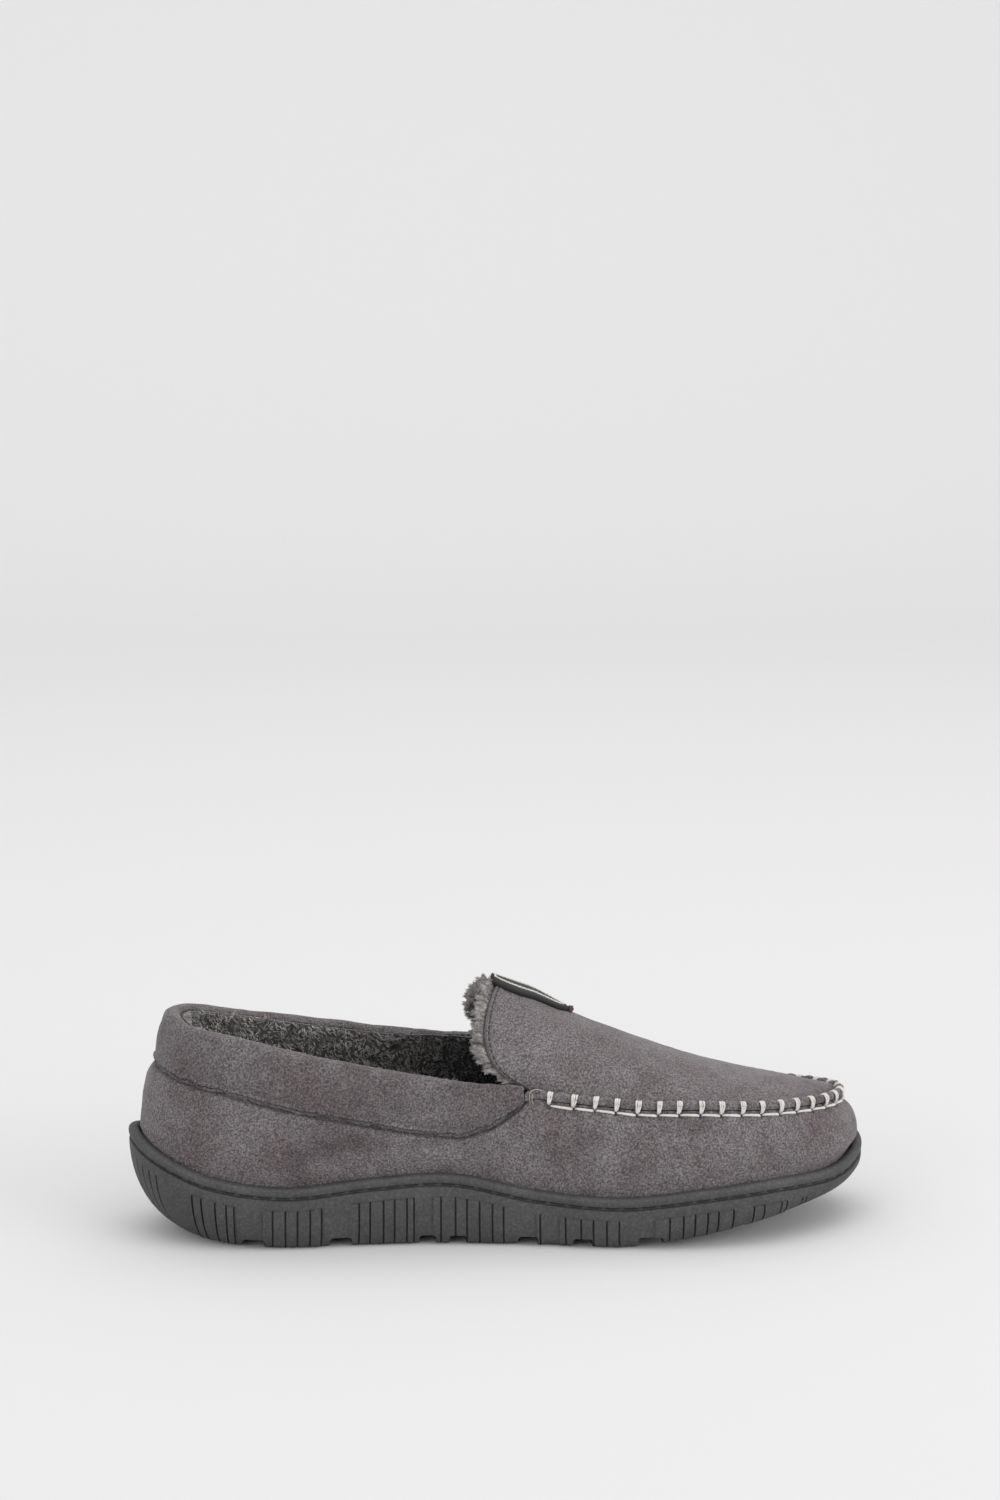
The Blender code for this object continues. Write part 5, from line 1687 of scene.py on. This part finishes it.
def make_plug_lining():
    """Fleece under the plug and the tongue."""
    rng = np.random.default_rng(SEED + 3)
    v = np.linspace(-0.97, 0.97, 121)
    first = edge_row(v, FUR_UNDER + 1.2)
    rows = np.concatenate([np.linspace(0, 1, 30), 1 + np.linspace(0, 1, 70)[1:]])[:, None]
    rr = np.where(rows < 1, first + (1 - first) * rows, rows)
    vv = np.broadcast_to(v, rr.shape)
    top = plug(rr, vv, -SUEDE - 1.1)
    low = lump(plug(rr, vv, -SUEDE - 3.4), 0.4, 55)
    add_piece("plug_fleece_backing", sheet(top, low), FLEECE_BASE, ("plug_lining",))
    visible = low[:72]
    if facing(visible)[2] > 0:
        visible = visible[:, ::-1]
    add_curls("plug_fleece_curls", wool(visible, PLUG_CURLS, rng, 2.3, 0.55, 0.34, lay=(-0.2, 0, 0)))


# Section of a pad's rounded edge: how far in from its widest, and share of its thickness
PAD_EDGE = ((1.2, 0.0), (0.35, 0.12), (0.0, 0.4), (0.1, 0.7), (0.6, 0.9), (1.6, 1.0))


def pad_layer(name, bottom, top, room, crown, material, replaced):
    """A pad in the cup with rounded edges and a slight crown; returns the loops of its top."""
    u = np.linspace(0, TURN, 480, endpoint=False)
    size = len(u)
    x = station(u)[:, 0]
    clearance = CUP_ROOM - lining_face(u) + FLEECE + 2 * GAP + room
    low, high = bottom(x), top(x)
    loops = [cup(u, low + (high - low) * share, clearance + inset) for inset, share in PAD_EDGE]
    edge = loops[-1]
    middle = (edge + edge[-np.arange(size) % size]) / 2
    for share in np.linspace(0, 1, 26)[1:-1]:
        loop = edge + (middle - edge) * share
        loop[:, 2] = top(loop[:, 0]) + crown * math.sin(share * math.pi / 2)
        loops.append(loop)
    points = np.concatenate(loops)
    rungs, ends = round_fill(size, (len(loops) - 1) * size)
    low_rungs, low_ends = round_fill(size, 0)
    fours = np.concatenate([quads(len(loops), size, False, True), rungs, low_rungs[:, ::-1]])
    shape = points, outward(points, [fours, np.concatenate([ends, low_ends[:, ::-1]])])
    obj = add_piece(name, shape, material, (replaced,))
    return np.array(loops[len(PAD_EDGE) - 1:])


def make_sock():
    """The insole's foam and the sock on it, whose short curls lie down into its pile."""
    rng = np.random.default_rng(SEED + 4)
    pad_layer("insole_cushion", lambda x: board_top(x) + GAP, foam_top, 0.3, 0.0,
              FOAM_CELLS, "insole_foam")
    top = pad_layer("sock_cushion", lambda x: foam_top(x) + GAP, lambda x: foam_top(x) + GAP + PILE - 1.6,
                    0.0, 0.3, FLEECE_BASE, "sock_pile")
    add_curls("sock_fleece_curls", wool(top, SOCK_CURLS, rng, 2.0, 0.55, 0.36))


# Section of the fur's backing behind the tongue's edge: distance back and height
FUR_SECTION = (
    (0.0, -2.4), (0.5, -2.5), (1.0, -2.7), (1.4, -3.1), (1.5, -3.6), (1.3, -4.1), (0.8, -4.5),
    (0.0, -4.8),
)


def make_fur():
    """Fur edge behind the tongue: a rolled backing, and hairs drawn together into tufts."""
    rng = np.random.default_rng(SEED + 5)
    v = np.linspace(-0.95, 0.95, 161)
    back = unit(plug(0.0, v) - plug(0.3, v))
    rise = plug_normal(0.0, v)
    under = edge_row(v, FUR_UNDER)
    edge = plug(edge_row(v, TONGUE_TRIM), v)
    outline = [edge + back * out + rise * up for out, up in FUR_SECTION]
    grid = np.stack([plug(under, v, -SUEDE - 0.9), *outline, plug(under, v, -SUEDE - 4.0)], 1)
    add_bar("tongue_fur_backing", grid, FUR_BASE, ("tongue_fur",))
    face = grid[:, 1:8]

    def roots(count):
        """Random roots on the backing, their columns, and how far down it each lies, 0 to 1."""
        p, _, i, j = scatter(face, count, rng)
        return p, np.clip(i.round().astype(int), 0, len(v) - 1), (j / (face.shape[1] - 1))[:, None]

    p, i, level = roots(FUR_HAIRS)
    out = unit(back[i] * (1 - 0.5 * level) + rise[i] * (0.85 - 1.5 * level))
    tuft, i, level = roots(FUR_TUFTS)
    lean = back[i] * (1.1 - 0.5 * level) + rise[i] * (0.75 - 1.3 * level)
    lean = unit(lean + rng.normal(0, 0.28, (FUR_TUFTS, 3)))
    tips = tuft + lean * rng.uniform(2.2, 4.6, (FUR_TUFTS, 1))
    nearest = np.argmin(np.linalg.norm(p[:, None] - tuft[None], axis=-1), axis=1)
    end = tips[nearest] + rng.normal(0, 0.45, (FUR_HAIRS, 3))
    t = np.linspace(0, 1, FUR_STEPS)[None, :, None]
    bow = out[:, None] * (0.6 * np.sin(np.pi * t))
    sway = rng.normal(0, 0.28, (FUR_HAIRS, 1, 3))
    wave = sway * np.sin(2 * np.pi * t * rng.uniform(0.8, 1.6, (FUR_HAIRS, 1, 1)))
    path = p[:, None] * (1 - t) + end[:, None] * t + bow + wave
    hairs = strand_tubes(path, 0.18 * (1 - 0.6 * np.linspace(0, 1, FUR_STEPS) ** 1.5))
    add_piece("tongue_fur_tufts", hairs, FUR_FIBRE)


# ---------------------------------------------------------------- build

make_outsole()
make_sole_stitch()
make_side_wall()
collar, collar_u, collar_parts = make_collar()
make_collar_stitches(collar, collar_u)
make_lining_seam(collar, collar_u, collar_parts)
make_plug()
make_tongue_stitches()
make_ridge()
make_whips()
make_tacks()
make_badge()
make_quarter_lining()
make_vamp_lining()
make_plug_lining()
make_sock()
make_fur()
for name, material in (
    ("midsole_wedge", EVA), ("insole_board", BOARD_FIBRE), ("strobel_thread", NATURAL_THREAD),
    ("heel_counter", COUNTER_FIBRE),
):
    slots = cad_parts[name].data.materials
    slots.clear()
    slots.append(material)


# ---------------------------------------------------------------- stage, light, camera

# Metres, unlike the rest of the script
SWEEP_FRONT, SWEEP_BEND, SWEEP_RADIUS = -2.2, 1.6, 1.2
SWEEP_BACK = SWEEP_BEND + SWEEP_RADIUS
SWEEP_HALF_WIDTH = 3.4
SWEEP_TOP = 3.4


def make_stage():
    """Pale paper: a floor that curves up into a back wall, painted darker toward the front."""
    profile = [(y, 0.0) for y in np.linspace(SWEEP_FRONT, SWEEP_BEND, 12)]
    for angle in np.linspace(0, 90, 19)[1:]:
        a = math.radians(angle)
        profile.append((SWEEP_BEND + SWEEP_RADIUS * math.sin(a), SWEEP_RADIUS * (1 - math.cos(a))))
    profile.append((SWEEP_BACK, SWEEP_TOP))
    xs = np.linspace(-SWEEP_HALF_WIDTH, SWEEP_HALF_WIDTH, 9)
    grid = np.array([[(x, y, z) for y, z in profile] for x in xs]) / MM
    obj = add_mesh("studio_sweep", grid.reshape(-1, 3), [quads(*grid.shape[:2])])
    material, tree, shader, where = new_material("studio_paper", 0.95, 0.05)
    split = tree.nodes.new("ShaderNodeSeparateXYZ")
    tree.links.new(where, split.inputs[0])
    # painted shade: the paper is darker toward the front, where the softboxes light it most, and lighter
    # toward the back wall
    far = map_range(tree, split.outputs["Y"], From_Min=-0.4, From_Max=SWEEP_BACK)
    tone = ramp(tree, far, [(0.0, 0.60), (0.2, 0.645), (0.5, 0.69), (1.0, 0.71)])
    finish_material(tree, shader, tone)
    obj.data.materials.append(material)
    if obj.data.polygons[0].normal.z < 0:
        obj.data.flip_normals()


def area_light(name, place, aim, size, power):
    data = bpy.data.lights.new(name, "AREA")
    data.shape = "RECTANGLE"
    data.size, data.size_y = size
    data.energy = power
    obj = bpy.data.objects.new(name, data)
    bpy.context.scene.collection.objects.link(obj)
    obj.location = place
    direction = Vector(place) - Vector(aim)
    obj.rotation_mode = "QUATERNION"
    obj.rotation_quaternion = direction.to_track_quat("Z", "Y")


make_stage()
area_light("top_softbox", (0.1, 0.0, 1.9), (0, 0, 0), (2.2, 1.8), 12.5)
area_light("left_softbox", (-1.3, -1.5, 0.65), (0, 0, 0.04), (1.3, 1.0), 11)
area_light("right_softbox", (1.6, -1.2, 0.6), (0, 0, 0.04), (1.5, 1.0), 19)

world = bpy.data.worlds.new("studio")
world.use_nodes = True
background = world.node_tree.nodes["Background"]
background.inputs["Color"].default_value = (1, 1, 1, 1)
background.inputs["Strength"].default_value = 0.97
bpy.context.scene.world = world
bpy.context.scene.view_settings.view_transform = "Standard"

# The camera fitted to the photograph: place, turn about the vertical, tilt below the horizon, lens
CAMERA_PLACE = (-0.15071881, -1.43399371, 0.45935603)
CAMERA_YAW = -6.06518
CAMERA_PITCH = 10.35176
CAMERA_LENS = 87.36
data = bpy.data.cameras.new("camera")
data.lens = CAMERA_LENS
data.sensor_width = 36.0
data.clip_start, data.clip_end = 0.05, 20.0
camera = bpy.data.objects.new("camera", data)
bpy.context.scene.collection.objects.link(camera)
camera.location = CAMERA_PLACE
camera.rotation_euler = (math.radians(90 - CAMERA_PITCH), 0, math.radians(CAMERA_YAW))
bpy.context.scene.camera = camera

bpy.context.view_layer.update()
